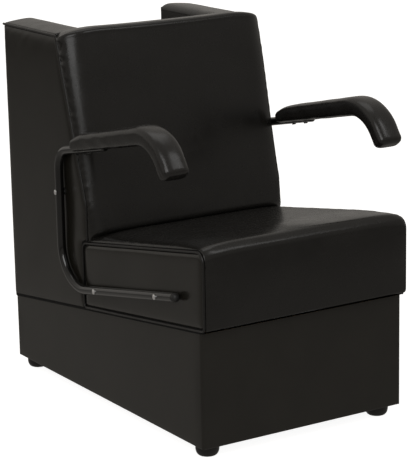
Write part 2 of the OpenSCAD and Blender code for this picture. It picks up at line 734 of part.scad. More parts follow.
// The cover of a wing's top, which runs down the inner wall to the shelf
wing_top_swell = 10;
wing_top_cells = 10;
back_end_y = face_top_y + back_top_d;
module wing_top_cover(side) {
    w = side_x - wing_in_x;
    color("#2b2926") on_floor() at_side(side) union() {
        translate([0, rear_in_y, 0]) rotate([90, 0, 0])
            linear_extrude(rear_in_y - back_end_y - soft_gap)
                polygon(concat([[side_x, panel_top_z], [side_x, wing_top_z]],
                    [for (i = [1 : wing_top_cells]) let(s = i / wing_top_cells)
                        [side_x - w * s, wing_top_z + wing_top_swell * s * (1 - pow(s, 6))
                            - skin_t * pow(s, 12)]]));
        side_plate(wing_in_x, panel_in_x,
            [[wing_y(shelf_z) + board_run, shelf_z], [rear_ply_y, shelf_z],
             [rear_ply_y, notch_z], [rear_in_y, notch_z], [rear_in_y, panel_top_z],
             [wing_y(panel_top_z) + board_run, panel_top_z]]);
    }
}
module wing_top_cover_left() { wing_top_cover(-1); }
module wing_top_cover_right() { wing_top_cover(1); }

// The back board and rails

module back_board() {
    color("burlywood") on_floor()
        side_plate(-side_x, side_x, slant_outline(knee_z, panel_top_z, 0, board_run));
}
module back_rails() {
    top = panel_top_z;
    color("tan") on_floor() {
        side_plate(-side_x, side_x, [[knee_y, neck_z], [knee_y + board_run, neck_z],
            [knee_y + board_run, knee_z], [knee_y, knee_z]]);
        side_plate(-wing_in_x, wing_in_x,
            slant_outline(top - top_rail_h, top, board_run, top_rail_d));
    }
}

// The back cushion's soft form. It rounds back to the wings at its sides, and its top dips in
// the middle.

back_x = side_x;
back_side_power = 3;
back_shoulder_r = 36;
function back_round(x) = let(s = max(0, (abs(x) - (back_x - back_side_r)) / back_side_r))
    pow(max(0, 1 - pow(s, back_side_power)), 1 / back_side_power);
function back_shoulder(x) = let(s = max(0, (abs(x) - (back_x - back_shoulder_r)) / back_shoulder_r))
    sqrt(max(0, 1 - s * s));
// What stays of the cushion's depth at its sides
back_side_t = 5;
function back_face(x, z) = let(y = wing_y(z) - back_side_t) y - (y - face_y(z)) * back_round(x);
dip_share = 0.7;
function back_top(x) = wing_top_z + back_shoulder(x)
    * (back_crown - back_dip * max(0, 1 - pow(x / (back_x * dip_share), 2)));
function back_r(x) = pipe_d + (back_edge_r - pipe_d) * back_shoulder(x);
back_face_cells = 9;
back_edge_cells = 6;
back_top_cells = 3;
back_cells = back_face_cells + back_edge_cells + back_top_cells;
back_across = 26;
back_top_drop = 6;
back_seat_gap = 2;
function back_low(x, y) = seat_z(x, y) + back_seat_gap;
// A point of the cushion's surface at a place across the chair and a step from its lower edge
function back_point(x, j, inset) =
    let(r = back_r(x), z_c = back_top(x) - r, y_low = face_y(neck_z),
        z_b = back_low(x, y_low))
    j < back_face_cells
        ? let(s = j / back_face_cells, z = z_b + s * (z_c - z_b)) [back_face(x, z) + inset, z]
        : j <= back_face_cells + back_edge_cells
        ? let(t = 90 * (j - back_face_cells) / back_edge_cells)
            [back_face(x, z_c) + r - (r - inset) * cos(t), z_c + (r - inset) * sin(t)]
        : let(s = (j - back_face_cells - back_edge_cells) / back_top_cells,
              y = back_face(x, z_c) + r)
            [y + s * (back_end_y - y),
             back_top(x) - inset - back_top_drop * s * s * back_shoulder(x)];
// A point behind the foam, on the board or on top of it
function back_behind(x, j, inset) =
    let(p = back_point(x, j, inset), y_top = wing_y(panel_top_z))
    j == 0
        ? [knee_y - soft_gap, back_low(x, knee_y)]
        : j <= back_face_cells
        ? let(s = (j - 1) / (back_face_cells - 1), z = knee_z + s * (panel_top_z - knee_z))
            [wing_y(z) - soft_gap, z]
        : [max(p[0], y_top), panel_top_z + soft_gap];
back_xs = spread(back_across, back_x);
module back_cover() {
    inner = (back_x - vinyl_t) / back_x;
    color("#24221f") on_floor() slab(
        on_x(back_xs, 1, [for (x = back_xs) [for (j = [0 : back_cells]) back_point(x, j, 0)]]),
        on_x(back_xs, inner, [for (x = back_xs) [for (j = [0 : back_cells])
            back_point(x, j, vinyl_t)]]));
}
module back_foam() {
    inset = vinyl_t + soft_gap;
    shrink = (back_x - inset) / back_x;
    color("khaki") on_floor() slab(
        on_x(back_xs, shrink, [for (x = back_xs) [for (j = [0 : back_cells])
            back_point(x, j, inset)]]),
        on_x(back_xs, shrink, [for (x = back_xs) [for (j = [0 : back_cells])
            back_behind(x, j, inset)]]));
}

// The rear and the dryer compartment

module rear_sheet(y0, y1, half, top, notch_half, notch_low) {
    difference() {
        side_plate(-half, half, [[y0, deck_z(y0)], [y1, deck_z(y1)], [y1, top], [y0, top]]);
        translate([-notch_half, y0 - cut, notch_low])
            cube([2 * notch_half, y1 - y0 + 2 * cut, top - notch_low + cut]);
    }
}
module rear_panel() {
    color("burlywood") on_floor()
        rear_sheet(rear_ply_y, rear_in_y, side_x, panel_top_z, panel_in_x, notch_z);
}
module rear_cover() {
    color("#2b2926") on_floor()
        rear_sheet(rear_in_y, unit_rear_y, side_x, wing_top_z, wing_in_x, notch_z);
}
shelf_low_z = shelf_z - ply_t;
shelf_mid_y = (back_end_y + rear_ply_y) / 2;
module dryer_shelf() {
    color("burlywood") on_floor() difference() {
        side_plate(-panel_in_x, panel_in_x,
            [[wing_y(shelf_low_z) + board_run, shelf_low_z], [rear_ply_y, shelf_low_z],
             [rear_ply_y, shelf_z], [wing_y(shelf_z) + board_run, shelf_z]]);
        for (x = [-1, 1] * shelf_hole_x / 2, y = [-1, 1] * shelf_hole_y / 2)
            translate([x, shelf_mid_y + y, shelf_low_z - cut])
                cylinder(h = ply_t + 2 * cut, r = shelf_hole_r, $fn = 48);
    }
}
module shelf_cleats() {
    z = shelf_low_z - ply_t;
    color("tan") on_floor() for (side = [-1, 1]) at_side(side)
        side_plate(panel_in_x - ply_t, panel_in_x,
            [[wing_y(shelf_low_z) + board_run, z], [rear_ply_y, z],
             [rear_ply_y, shelf_low_z], [wing_y(shelf_low_z) + board_run, shelf_low_z]]);
}

// The arms. Each tube is bolted through the side in three places.

// The lower bolts pass through the seat's rail, the top one through the wing
low_bolts = 2;
function wall_at(k) = k < low_bolts ? ply_t : wing_ply_t;
module bolt_axes() {
    for (side = [-1, 1], k = [0 : len(bolt_places) - 1]) at_side(side)
        translate([side_x - wall_at(k), bolt_places[k][0], bolt_places[k][1]])
            rotate([0, 90, 0]) {
                $grip = arm_x + tube_r - side_x + wall_at(k);
                children();
            }
}
module arm_bolt_shapes() {
    bolt_axes() translate([0, 0, -nut_t]) cylinder(h = $grip + nut_t, r = bolt_r, $fn = 48);
}
module arm_nut_shapes() {
    bolt_axes() translate([0, 0, -nut_t]) cylinder(h = nut_t, r = nut_r, $fn = 48);
}
module arm_nuts() {
    color("silver") on_floor() difference() {
        arm_nut_shapes();
        arm_bolt_shapes();
    }
}
module arm_washers() {
    color("#202020") on_floor() difference() {
        bolt_axes() translate([0, 0, $grip - 2 * tube_r - washer_t])
            cylinder(h = washer_t, r = nut_r, $fn = 48);
        arm_bolt_shapes();
    }
}
module arm_bolts() {
    color("silver") on_floor() union() {
        arm_bolt_shapes();
        bolt_axes() translate([0, 0, $grip]) rotate_extrude($fn = 64) intersection() {
            square([bolt_head_r, bolt_head_t]);
            translate([0, bolt_head_t - bolt_head_r * 2]) circle(bolt_head_r * 2, $fn = 96);
        }
    }
}
module arm_tube(side) {
    color("#1a1a1a") on_floor() difference() {
        at_side(side) translate([arm_x, 0, 0])
            bent_rod(tube_path, tube_bends, tube_r, tube_r - tube_wall, 20);
        arm_bolt_shapes();
        pad_screw_shapes();
    }
}
module arm_tube_left() { arm_tube(-1); }
module arm_tube_right() { arm_tube(1); }
module arm_plugs() {
    color("#141414") on_floor() for (side = [-1, 1]) at_side(side)
        translate([arm_x, tube_path[0][0], tube_path[0][1]]) rotate([90 - atan(tube_rise), 0, 0]) {
            translate([0, 0, -plug_len]) cylinder(h = plug_len, r = tube_r - tube_wall - plug_play, $fn = 64);
            intersection() {
                sphere(tube_r, $fn = 64);
                cylinder(h = tube_r, r = tube_r, $fn = 64);
            }
        }
}

// The arm pads: a rounded section carried along a line that bends down at the front

pad_line = [[pad_rear_y, pad_low(pad_rear_y) + pad_rear_t / 2],
            [pad_bend_y, pad_low(pad_bend_y) + pad_crest_t / 2],
            [pad_front_y, pad_low(pad_bend_y) + pad_crest_t / 2 - pad_drop]];
pad_turn = turn_at(pad_line[0], pad_line[1], pad_line[2]);
pad_back = pad_bend_r * tan(pad_turn / 2);
pad_dir_a = (pad_line[1] - pad_line[0]) / norm(pad_line[1] - pad_line[0]);
pad_dir_b = (pad_line[2] - pad_line[1]) / norm(pad_line[2] - pad_line[1]);
pad_len_a = norm(pad_line[1] - pad_line[0]) - pad_back;
pad_len_b = norm(pad_line[2] - pad_line[1]) - pad_back;
pad_arc = pad_bend_r * pad_turn * PI / 180;
pad_len = pad_len_a + pad_arc + pad_len_b;
pad_end_r = 12;
function pad_angle(s) = s < pad_len_a ? 0 : min(1, (s - pad_len_a) / pad_arc) * pad_turn;
function pad_heading(s) = let(a = atan2(pad_dir_a[1], pad_dir_a[0]) + pad_angle(s))
    [cos(a), sin(a)];
function pad_spot(s) = s < pad_len_a ? pad_line[0] + pad_dir_a * s
    : s < pad_len_a + pad_arc
    ? let(h = pad_heading(s), c = pad_line[1] - pad_dir_a * pad_back
              + [-pad_dir_a[1], pad_dir_a[0]] * pad_bend_r)
        c + [h[1], -h[0]] * pad_bend_r
    : pad_line[1] + pad_dir_b * (s - pad_len_a - pad_arc + pad_back);
function pad_thick(s) = s < pad_len_a ? pad_rear_t + (pad_crest_t - pad_rear_t) * s / pad_len_a
    : pad_crest_t + (pad_front_t - pad_crest_t) * (s - pad_len_a) / (pad_len - pad_len_a);
function pad_close(s) = let(d = max(0, 1 - min(s, pad_len - s) / pad_end_r))
    sqrt(1 - pad_end_share * d * d);
pad_sides = 20;
pad_end_share = 0.7;
// Points of the rounded section, fuller below than above
function pad_ring(s) = let(p = pad_spot(s), h = pad_heading(s), t = pad_thick(s), k = pad_close(s),
    shrink = min(t, pad_w) * (1 - k) / 2)
    [for (i = [0 : pad_sides - 1]) let(a = 360 * (i + 0.5) / pad_sides,
        e = sin(a) < 0 ? 0.42 : 0.72,
        u = sign(cos(a)) * pow(abs(cos(a)), e) * (pad_w / 2 - shrink),
        v = sign(sin(a)) * pow(abs(sin(a)), e) * (t / 2 - shrink))
        [u, p[0] + h[1] * v, p[1] - h[0] * v]];
pad_end_shares = [0, 0.12, 0.4, 1];
pad_straight_cells = 8;
pad_arc_cells = 9;
pad_tip_cells = 2;
pad_places = concat([for (e = pad_end_shares) e * pad_end_r],
    [for (i = [1 : pad_straight_cells])
        pad_end_r + (pad_len_a - pad_end_r) * i / pad_straight_cells],
    [for (i = [1 : pad_arc_cells]) pad_len_a + pad_arc * i / pad_arc_cells],
    [for (i = [1 : pad_tip_cells])
        pad_len_a + pad_arc + (pad_len_b - pad_end_r) * i / pad_tip_cells],
    [for (i = [len(pad_end_shares) - 2 : -1 : 0]) pad_len - pad_end_shares[i] * pad_end_r]);
module pad_form() {
    rings = [for (s = pad_places) pad_ring(s)];
    n = len(rings);
    k = pad_sides;
    polyhedron(points = [for (ring = rings) each ring], convexity = 6, faces = concat(
        [for (i = [0 : n - 2], j = [0 : k - 1])
            [i * k + j, (i + 1) * k + j, (i + 1) * k + (j + 1) % k]],
        [for (i = [0 : n - 2], j = [0 : k - 1])
            [i * k + j, (i + 1) * k + (j + 1) % k, i * k + (j + 1) % k]],
        [for (j = [1 : k - 2]) [0, j, j + 1]],
        [for (j = [1 : k - 2]) [(n - 1) * k, (n - 1) * k + j + 1, (n - 1) * k + j]]));
}
board_w = 44;
board_rear_y = 505;
board_len = 300;
module on_tube(y) {
    translate([arm_x, y, tube_high(y)]) rotate([-atan(pad_rise), 0, 0]) children();
}
module pad_board_shape() {
    on_tube(board_rear_y) translate([-board_w / 2, -board_len, tube_r])
        cube([board_w, board_len, core_t]);
}
module arm_pad(side) {
    color("#201e1b") on_floor() at_side(side) difference() {
        translate([arm_x, 0, 0]) pad_form();
        pad_board_shape();
        on_tube(pad_rear_y + tube_r) rotate([90, 0, 0])
            cylinder(h = (pad_rear_y + tube_r - tube_rear_y) / cos(atan(pad_rise)) + cut,
                     r = tube_r + soft_gap, $fn = 48);
    }
}
module arm_pad_left() { arm_pad(-1); }
module arm_pad_right() { arm_pad(1); }
module arm_pad_boards() {
    color("burlywood") on_floor() difference() {
        for (side = [-1, 1]) at_side(side) pad_board_shape();
        pad_screw_shapes();
    }
}
pad_screw_r = 2.5;
pad_screw_head_r = 5;
pad_screw_head_t = 2.5;
pad_screw_inset = 30;
pad_screw_bite = 9;
module pad_screw_places() {
    for (side = [-1, 1], y = [tube_rear_y + pad_screw_inset, board_rear_y - pad_screw_inset])
        at_side(side) on_tube(y) children();
}
module pad_screw_shapes() {
    pad_screw_places() translate([0, 0, -tube_r])
        cylinder(h = 2 * tube_r + pad_screw_bite, r = pad_screw_r, $fn = 32);
}
module arm_pad_screws() {
    color("silver") on_floor() union() {
        pad_screw_shapes();
        pad_screw_places() translate([0, 0, -tube_r - pad_screw_head_t])
            cylinder(h = pad_screw_head_t, r = pad_screw_head_r, $fn = 48);
    }
}

base_left_panel();
base_right_panel();
base_front_panel();
base_rear_panel();
base_corner_blocks();
base_deck();
base_cover();
dust_cover();
foot_front_left();
foot_front_right();
foot_rear_left();
foot_rear_right();
foot_screws();
seat_left_rail();
seat_right_rail();
seat_cross_rails();
seat_corner_blocks();
unit_bolts();
seat_spring_1();
seat_spring_2();
seat_spring_3();
seat_spring_4();
seat_spring_5();
spring_clips();
seat_insulator();
seat_foam();
seat_cover();
seat_side_cover_left();
seat_side_cover_right();
seat_piping_left();
seat_piping_right();
wing_left_outer_panel();
wing_right_outer_panel();
wing_left_inner_panel();
wing_right_inner_panel();
wing_spacers();
wing_side_cover_left();
wing_side_cover_right();
wing_top_cover_left();
wing_top_cover_right();
wing_piping_left();
wing_piping_right();
back_board();
back_rails();
back_foam();
back_cover();
rear_panel();
rear_cover();
dryer_shelf();
shelf_cleats();
arm_tube_left();
arm_tube_right();
arm_plugs();
arm_bolts();
arm_nuts();
arm_washers();
arm_pad_left();
arm_pad_right();
arm_pad_boards();
arm_pad_screws();
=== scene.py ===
"""The hooded dryer chair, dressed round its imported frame. Shapes are written in millimetres in the
chair's own coordinates, counted from the lower front edge of the base, and placed by row()."""
import json
import math

import bmesh
import bpy
import numpy as np
from mathutils import Matrix, Vector


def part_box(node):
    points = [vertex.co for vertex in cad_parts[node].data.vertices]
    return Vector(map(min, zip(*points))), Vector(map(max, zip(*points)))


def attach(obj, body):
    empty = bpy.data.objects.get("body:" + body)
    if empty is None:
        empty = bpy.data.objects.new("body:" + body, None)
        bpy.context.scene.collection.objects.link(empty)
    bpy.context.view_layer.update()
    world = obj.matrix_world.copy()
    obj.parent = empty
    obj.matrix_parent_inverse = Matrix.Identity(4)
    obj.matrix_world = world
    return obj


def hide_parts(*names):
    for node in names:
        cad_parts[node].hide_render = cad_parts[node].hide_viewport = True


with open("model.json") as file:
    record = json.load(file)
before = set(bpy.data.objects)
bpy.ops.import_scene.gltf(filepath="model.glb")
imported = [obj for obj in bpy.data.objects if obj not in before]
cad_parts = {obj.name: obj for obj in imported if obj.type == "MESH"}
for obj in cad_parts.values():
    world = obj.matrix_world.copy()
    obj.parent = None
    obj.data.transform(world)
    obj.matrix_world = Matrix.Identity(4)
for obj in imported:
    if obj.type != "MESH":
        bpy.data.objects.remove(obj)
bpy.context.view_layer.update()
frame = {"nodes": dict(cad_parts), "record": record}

MM = 0.001
BODY = "root"
SEED = 7
SIDES = (-1, 1)
SIDE_NAME = {-1: "left", 1: "right"}
BASE_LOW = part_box("base_cover")[0]


def in_mm(node, corner, axis):
    """A corner of a CAD node along an axis, in the chair's coordinates."""
    shift = BASE_LOW[axis] if axis else 0.0
    return (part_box(node)[corner][axis] - shift) / MM


BASE_X = in_mm("base_cover", 1, 0)
BASE_D = in_mm("base_cover", 1, 1)
BASE_FRONT_H = in_mm("base_cover", 1, 2)
UNIT_X = in_mm("wing_side_cover_right", 1, 0)
SIDE_X = in_mm("wing_side_cover_right", 0, 0)
REAR_Y = in_mm("rear_cover", 1, 1)
WING_TOP = in_mm("rear_cover", 1, 2)
WING_IN_X = in_mm("wing_top_cover_right", 0, 0)

# The chair's lines in the side view, as in the part
PIPE_D = 6.0
PIPE_R = PIPE_D / 2
PANEL_INSET = PIPE_D + 2.2
BASE_REAR_H = 166.0
BASE_CORNER_R = 7.0
SEAT_FRONT_Y = -19.0
SEAT_FRONT_Z = 479.0
SEAT_REAR_Z = 389.0
SEAT_D = 552.0
SEAT_CROWN = 22.0
SEAT_SWELL = 6.0
SEAT_EDGE_R = 27.0
SEAT_CORNER_R = 23.0
LOW_CORNER_R = 13.0
WING_CORNER_R = 14.0
WING_TOP_Y = 650.0
KNEE_Z = 485.0
KNEE_Y = 521.0
FACE_KNEE_Y = 503.0
FACE_TOP_Y = 594.0
BACK_CROWN = 17.5
BACK_DIP = 3.0
BACK_EDGE_R = 13.0
BACK_SIDE_R = 52.0
BACK_WALL_BULGE = 7.0
BACK_TOP_D = 92.0
GROOVE = 5.0
PIPE_LIFT = 3.0
LIP_SLOPE = 12.0
REAR_T = 3.0
REAR_GAP = 3.0


def deck_z(y):
    return BASE_FRONT_H - (BASE_FRONT_H - BASE_REAR_H) / BASE_D * y


def seat_line(y):
    return SEAT_FRONT_Z - (SEAT_FRONT_Z - SEAT_REAR_Z) / SEAT_D * y


def wing_y(z):
    return KNEE_Y + (WING_TOP_Y - KNEE_Y) / (WING_TOP - KNEE_Z) * np.maximum(0, z - KNEE_Z)


def face_y(z):
    return FACE_KNEE_Y + (FACE_TOP_Y - FACE_KNEE_Y) / (WING_TOP - KNEE_Z) * (z - KNEE_Z)


def row(points):
    """Chair millimetres to the row frame in metres."""
    return np.asarray(points, float) * MM + np.array([0.0, BASE_LOW.y, BASE_LOW.z])


# Mesh making


def piece(name, points, faces, look, smooth=True):
    """A mesh piece of the chair from points in chair millimetres, in one of the materials below."""
    mesh = bpy.data.meshes.new(name)
    mesh.from_pydata(row(points).tolist(), [], [list(map(int, f)) for f in faces])
    mesh.validate()
    mesh.materials.append(MATERIALS[look])
    for polygon in mesh.polygons:
        polygon.use_smooth = smooth
    obj = bpy.data.objects.new(name, mesh)
    bpy.context.scene.collection.objects.link(obj)
    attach(obj, BODY)
    return obj


def grid_faces(nu, nv, wrap_u=False, wrap_v=False, start=0):
    """Quads of a grid of nu by nv points."""
    faces = []
    for i in range(nu if wrap_u else nu - 1):
        for j in range(nv if wrap_v else nv - 1):
            near = start + i * nv
            far = start + (i + 1) % nu * nv
            after = (j + 1) % nv
            faces.append([near + j, far + j, far + after, near + after])
    return faces


def ring_faces(count, sides, closed=False):
    """Faces of a run of rings, with a flat face on each open end."""
    faces = grid_faces(count, sides, wrap_u=closed, wrap_v=True)
    if not closed:
        faces.append(list(range(sides))[::-1])
        faces.append([(count - 1) * sides + k for k in range(sides)])
    return faces


def shell_faces(nu, nv):
    """Faces of two layers of the same grid, joined along their rim."""
    count = nu * nv
    faces = grid_faces(nu, nv) + grid_faces(nu, nv, start=count)
    rim = [i * nv for i in range(nu)] + [(nu - 1) * nv + j for j in range(1, nv)]
    rim += [i * nv + nv - 1 for i in range(nu - 2, -1, -1)] + [j for j in range(nv - 2, 0, -1)]
    for a, b in zip(rim, rim[1:] + rim[:1]):
        faces.append([a, b, b + count, a + count])
    return faces


def facing_out(obj):
    """Turns the faces of a closed piece outwards."""
    work = bmesh.new()
    work.from_mesh(obj.data)
    bmesh.ops.recalc_face_normals(work, faces=work.faces)
    work.to_mesh(obj.data)
    work.free()
    return obj


def cushion(name, grid):
    """A closed vinyl piece from a grid of sections: both ends of the sections join behind, and the
    first and last sections are closed."""
    nu, nv = grid.shape[:2]
    faces = grid_faces(nu, nv)
    for j in range(nv - 1):
        faces.append([j, j + 1, (nu - 1) * nv + j + 1, (nu - 1) * nv + j])
    faces.append([i * nv for i in range(nu)])
    faces.append([i * nv + nv - 1 for i in range(nu)][::-1])
    return facing_out(piece(name, grid.reshape(-1, 3), faces, "vinyl"))


def normals(grid):
    """Unit normals of a grid of points."""
    across = np.gradient(grid, axis=0)
    along = np.gradient(grid, axis=1)
    n = np.cross(across, along)
    return n / np.maximum(np.linalg.norm(n, axis=2, keepdims=True), 1e-9)


def ripple(t, seed, waves=5, least=1.0, most=3.0):
    """A smooth irregular wave of about unit height along t, whose waves come least to most
    times in each unit."""
    rng = np.random.default_rng(SEED + seed)
    value = np.zeros_like(np.asarray(t, float))
    for _ in range(waves):
        rate = rng.uniform(least, most)
        value = value + np.sin(2 * math.pi * (rate * t + rng.uniform()))
    return value / math.sqrt(waves / 2) / 1.4


def rounded_path(corners, radii, step):
    """Points along straight runs joined by round bends, about a step apart."""
    corners = [np.asarray(c, float) for c in corners]
    points = [corners[0]]
    for i in range(1, len(corners)):
        start = points[-1]
        if i == len(corners) - 1 or radii[i] == 0:
            end, arc = corners[i], []
        else:
            u = corners[i] - corners[i - 1]
            v = corners[i + 1] - corners[i]
            u, v = u / np.linalg.norm(u), v / np.linalg.norm(v)
            turn = math.acos(max(-1.0, min(1.0, float(u @ v))))
            r = radii[i]
            end = corners[i] - u * r * math.tan(turn / 2)
            n = v - u * float(u @ v)
            n = n / np.linalg.norm(n)
            count = max(4, int(r * turn / step))
            arc = [end + n * r * (1 - math.cos(turn * k / count)) + u * r * math.sin(turn * k / count)
                   for k in range(1, count + 1)]
        count = max(1, int(np.linalg.norm(end - start) / step))
        points += [start + (end - start) * k / count for k in range(1, count + 1)]
        points += arc
    return np.array(points)


def tube_rings(path, radius, sides, closed=False):
    """Rings of points round a path in chair millimetres, with no twist."""
    if closed:
        heading = np.roll(path, -1, axis=0) - np.roll(path, 1, axis=0)
    else:
        heading = np.gradient(path, axis=0)
    heading = heading / np.linalg.norm(heading, axis=1, keepdims=True)
    across = np.cross(heading[0], [0.0, 0.0, 1.0])
    if np.linalg.norm(across) < 0.1:
        across = np.cross(heading[0], [0.0, 1.0, 0.0])
    angle = np.linspace(0, 2 * math.pi, sides, endpoint=False)[:, None]
    rings = []
    for place, ahead in zip(path, heading):
        across = across - ahead * float(across @ ahead)
        across = across / np.linalg.norm(across)
        up = np.cross(across, ahead)
        rings.append(place + radius * (np.cos(angle) * across + np.sin(angle) * up))
    return np.array(rings)


def tube(name, path, radius, sides, look, closed=False):
    """A round tube along a path, open ends closed with a flat face."""
    rings = tube_rings(path, radius, sides, closed)
    faces = ring_faces(len(rings), sides, closed)
    return facing_out(piece(name, rings.reshape(-1, 3), faces, look))


# Materials


def shader(name, colour, rough, metal=0.0, specular=0.5, coat=0.0, coat_rough=0.1, sheen=0.0):
    """A new material with a Principled shader, and its nodes and links."""
    material = bpy.data.materials.new(name)
    material.use_nodes = True
    nodes, links = material.node_tree.nodes, material.node_tree.links
    bsdf = nodes["Principled BSDF"]
    bsdf.inputs["Base Color"].default_value = (*colour, 1)
    bsdf.inputs["Roughness"].default_value = rough
    bsdf.inputs["Metallic"].default_value = metal
    bsdf.inputs["Specular IOR Level"].default_value = specular
    bsdf.inputs["Coat Weight"].default_value = coat
    bsdf.inputs["Coat Roughness"].default_value = coat_rough
    bsdf.inputs["Sheen Weight"].default_value = sheen
    return material, nodes, links, bsdf


def place_of(nodes):
    """The object's own coordinates, in metres."""
    return nodes.new("ShaderNodeTexCoord").outputs["Object"]


def noise(nodes, links, place, scale, detail=3.0, rough=0.55):
    node = nodes.new("ShaderNodeTexNoise")
    node.inputs["Scale"].default_value = scale
    node.inputs["Detail"].default_value = detail
    node.inputs["Roughness"].default_value = rough
    links.new(place, node.inputs["Vector"])
    return node.outputs["Fac"]


def cells(nodes, links, place, scale, feature="DISTANCE_TO_EDGE"):
    node = nodes.new("ShaderNodeTexVoronoi")
    node.feature = feature
    node.inputs["Scale"].default_value = scale
    links.new(place, node.inputs["Vector"])
    return node.outputs["Distance"]


def ramp(nodes, links, source, low, high, start=0.3, end=0.7):
    """Runs from one value or colour to another as the source goes from start to end."""
    node = nodes.new("ShaderNodeMapRange")
    node.inputs["From Min"].default_value = start
    node.inputs["From Max"].default_value = end
    node.inputs["To Min"].default_value = low
    node.inputs["To Max"].default_value = high
    links.new(source, node.inputs["Value"])
    return node.outputs["Result"]


def blend_colours(nodes, links, source, first, second):
    node = nodes.new("ShaderNodeMix")
    node.data_type = "RGBA"
    node.inputs["A"].default_value = (*first, 1)
    node.inputs["B"].default_value = (*second, 1)
    links.new(source, node.inputs["Factor"])
    return node.outputs["Result"]


def bump(nodes, links, bsdf, layers):
    """Bump layers of (height, strength, distance in metres), one on the other."""
    last = None
    for height, strength, distance in layers:
        node = nodes.new("ShaderNodeBump")
        node.inputs["Strength"].default_value = strength
        node.inputs["Distance"].default_value = distance
        links.new(height, node.inputs["Height"])
        if last is not None:
            links.new(last, node.inputs["Normal"])
        last = node.outputs["Normal"]
    links.new(last, bsdf.inputs["Normal"])


def vinyl(name, colour, rough, grain=0.35, slack=0.3, specular=0.5):
    """Upholstery vinyl: fine pebbled grain, soft waves where it is drawn over foam, and a sheen
    that varies a little with handling."""
    material, nodes, links, bsdf = shader(name, colour, rough, specular=specular)
    place = place_of(nodes)
    worn = noise(nodes, links, place, 9, 4)
    lighter = tuple(c * 1.15 for c in colour)
    darker = tuple(c * 0.88 for c in colour)
    tone = ramp(nodes, links, worn, 0, 1)
    links.new(blend_colours(nodes, links, tone, darker, lighter), bsdf.inputs["Base Color"])
    links.new(ramp(nodes, links, noise(nodes, links, place, 30, 5), rough - 0.04, rough + 0.04),
              bsdf.inputs["Roughness"])
    pebbles = cells(nodes, links, place, 720, "SMOOTH_F1")
    bump(nodes, links, bsdf, [
        (noise(nodes, links, place, 7, 1), slack, 0.004),
        (noise(nodes, links, place, 40, 2), slack * 0.25, 0.001),
        (pebbles, grain, 0.00025)])
    return material


def wood(name, colour):
    """Raw plywood: long grain along X, with darker streaks."""
    material, nodes, links, bsdf = shader(name, colour, 0.7, specular=0.3)
    place = place_of(nodes)
    stretch = nodes.new("ShaderNodeMapping")
    stretch.inputs["Scale"].default_value = (0.06, 1, 1)
    links.new(place, stretch.inputs["Vector"])
    grain = noise(nodes, links, stretch.outputs["Vector"], 160, 6, 0.65)
    dark = tuple(c * 0.62 for c in colour)
    links.new(blend_colours(nodes, links, ramp(nodes, links, grain, 0, 1), dark, colour),
              bsdf.inputs["Base Color"])
    bump(nodes, links, bsdf, [(grain, 0.25, 0.0005)])
    return material


def foam(name, colour):
    """Open foam with fine pores."""
    material, nodes, links, bsdf = shader(name, colour, 0.95, specular=0.2)
    place = place_of(nodes)
    pores = cells(nodes, links, place, 900)
    dark = tuple(c * 0.85 for c in colour)
    tone = blend_colours(nodes, links, noise(nodes, links, place, 14), dark, colour)
    links.new(tone, bsdf.inputs["Base Color"])
    bump(nodes, links, bsdf, [(pores, 0.5, 0.0006)])
    return material


def cloth(name, colour, scale=1400):
    """Felt or non-woven cloth."""
    material, nodes, links, bsdf = shader(name, colour, 0.95, specular=0.2, sheen=0.15)
    place = place_of(nodes)
    fibres = noise(nodes, links, place, scale, 5, 0.7)
    darker = tuple(c * 0.7 for c in colour)
    lighter = tuple(c * 1.3 for c in colour)
    links.new(blend_colours(nodes, links, fibres, darker, lighter), bsdf.inputs["Base Color"])
    bump(nodes, links, bsdf, [(fibres, 0.4, 0.0005)])
    return material


def enamel(name, colour, rough):
    """Gloss paint on steel, with faint orange peel."""
    material, nodes, links, bsdf = shader(name, colour, rough, specular=0.5, coat=0.6, coat_rough=0.06)
    place = place_of(nodes)
    links.new(ramp(nodes, links, noise(nodes, links, place, 40), rough - 0.04, rough + 0.06),
              bsdf.inputs["Roughness"])
    bump(nodes, links, bsdf, [(noise(nodes, links, place, 260, 2), 0.12, 0.0003)])
    return material


def steel(name, colour, rough, scratch=0.2):
    """Plated or drawn steel, with fine scratches."""
    material, nodes, links, bsdf = shader(name, colour, rough, metal=1.0)
    place = place_of(nodes)
    marks = noise(nodes, links, place, 500, 6, 0.7)
    links.new(ramp(nodes, links, marks, rough * 0.7, rough * 1.4), bsdf.inputs["Roughness"])
    bump(nodes, links, bsdf, [(marks, scratch, 0.0001)])
    return material


def plastic(name, colour, rough):
    """Moulded plastic with a fine texture."""
    material, nodes, links, bsdf = shader(name, colour, rough, specular=0.4)
    place = place_of(nodes)
    mould = noise(nodes, links, place, 700, 4)
    links.new(ramp(nodes, links, noise(nodes, links, place, 25), rough - 0.06, rough + 0.08),
              bsdf.inputs["Roughness"])
    bump(nodes, links, bsdf, [(mould, 0.2, 0.0002)])
    return material


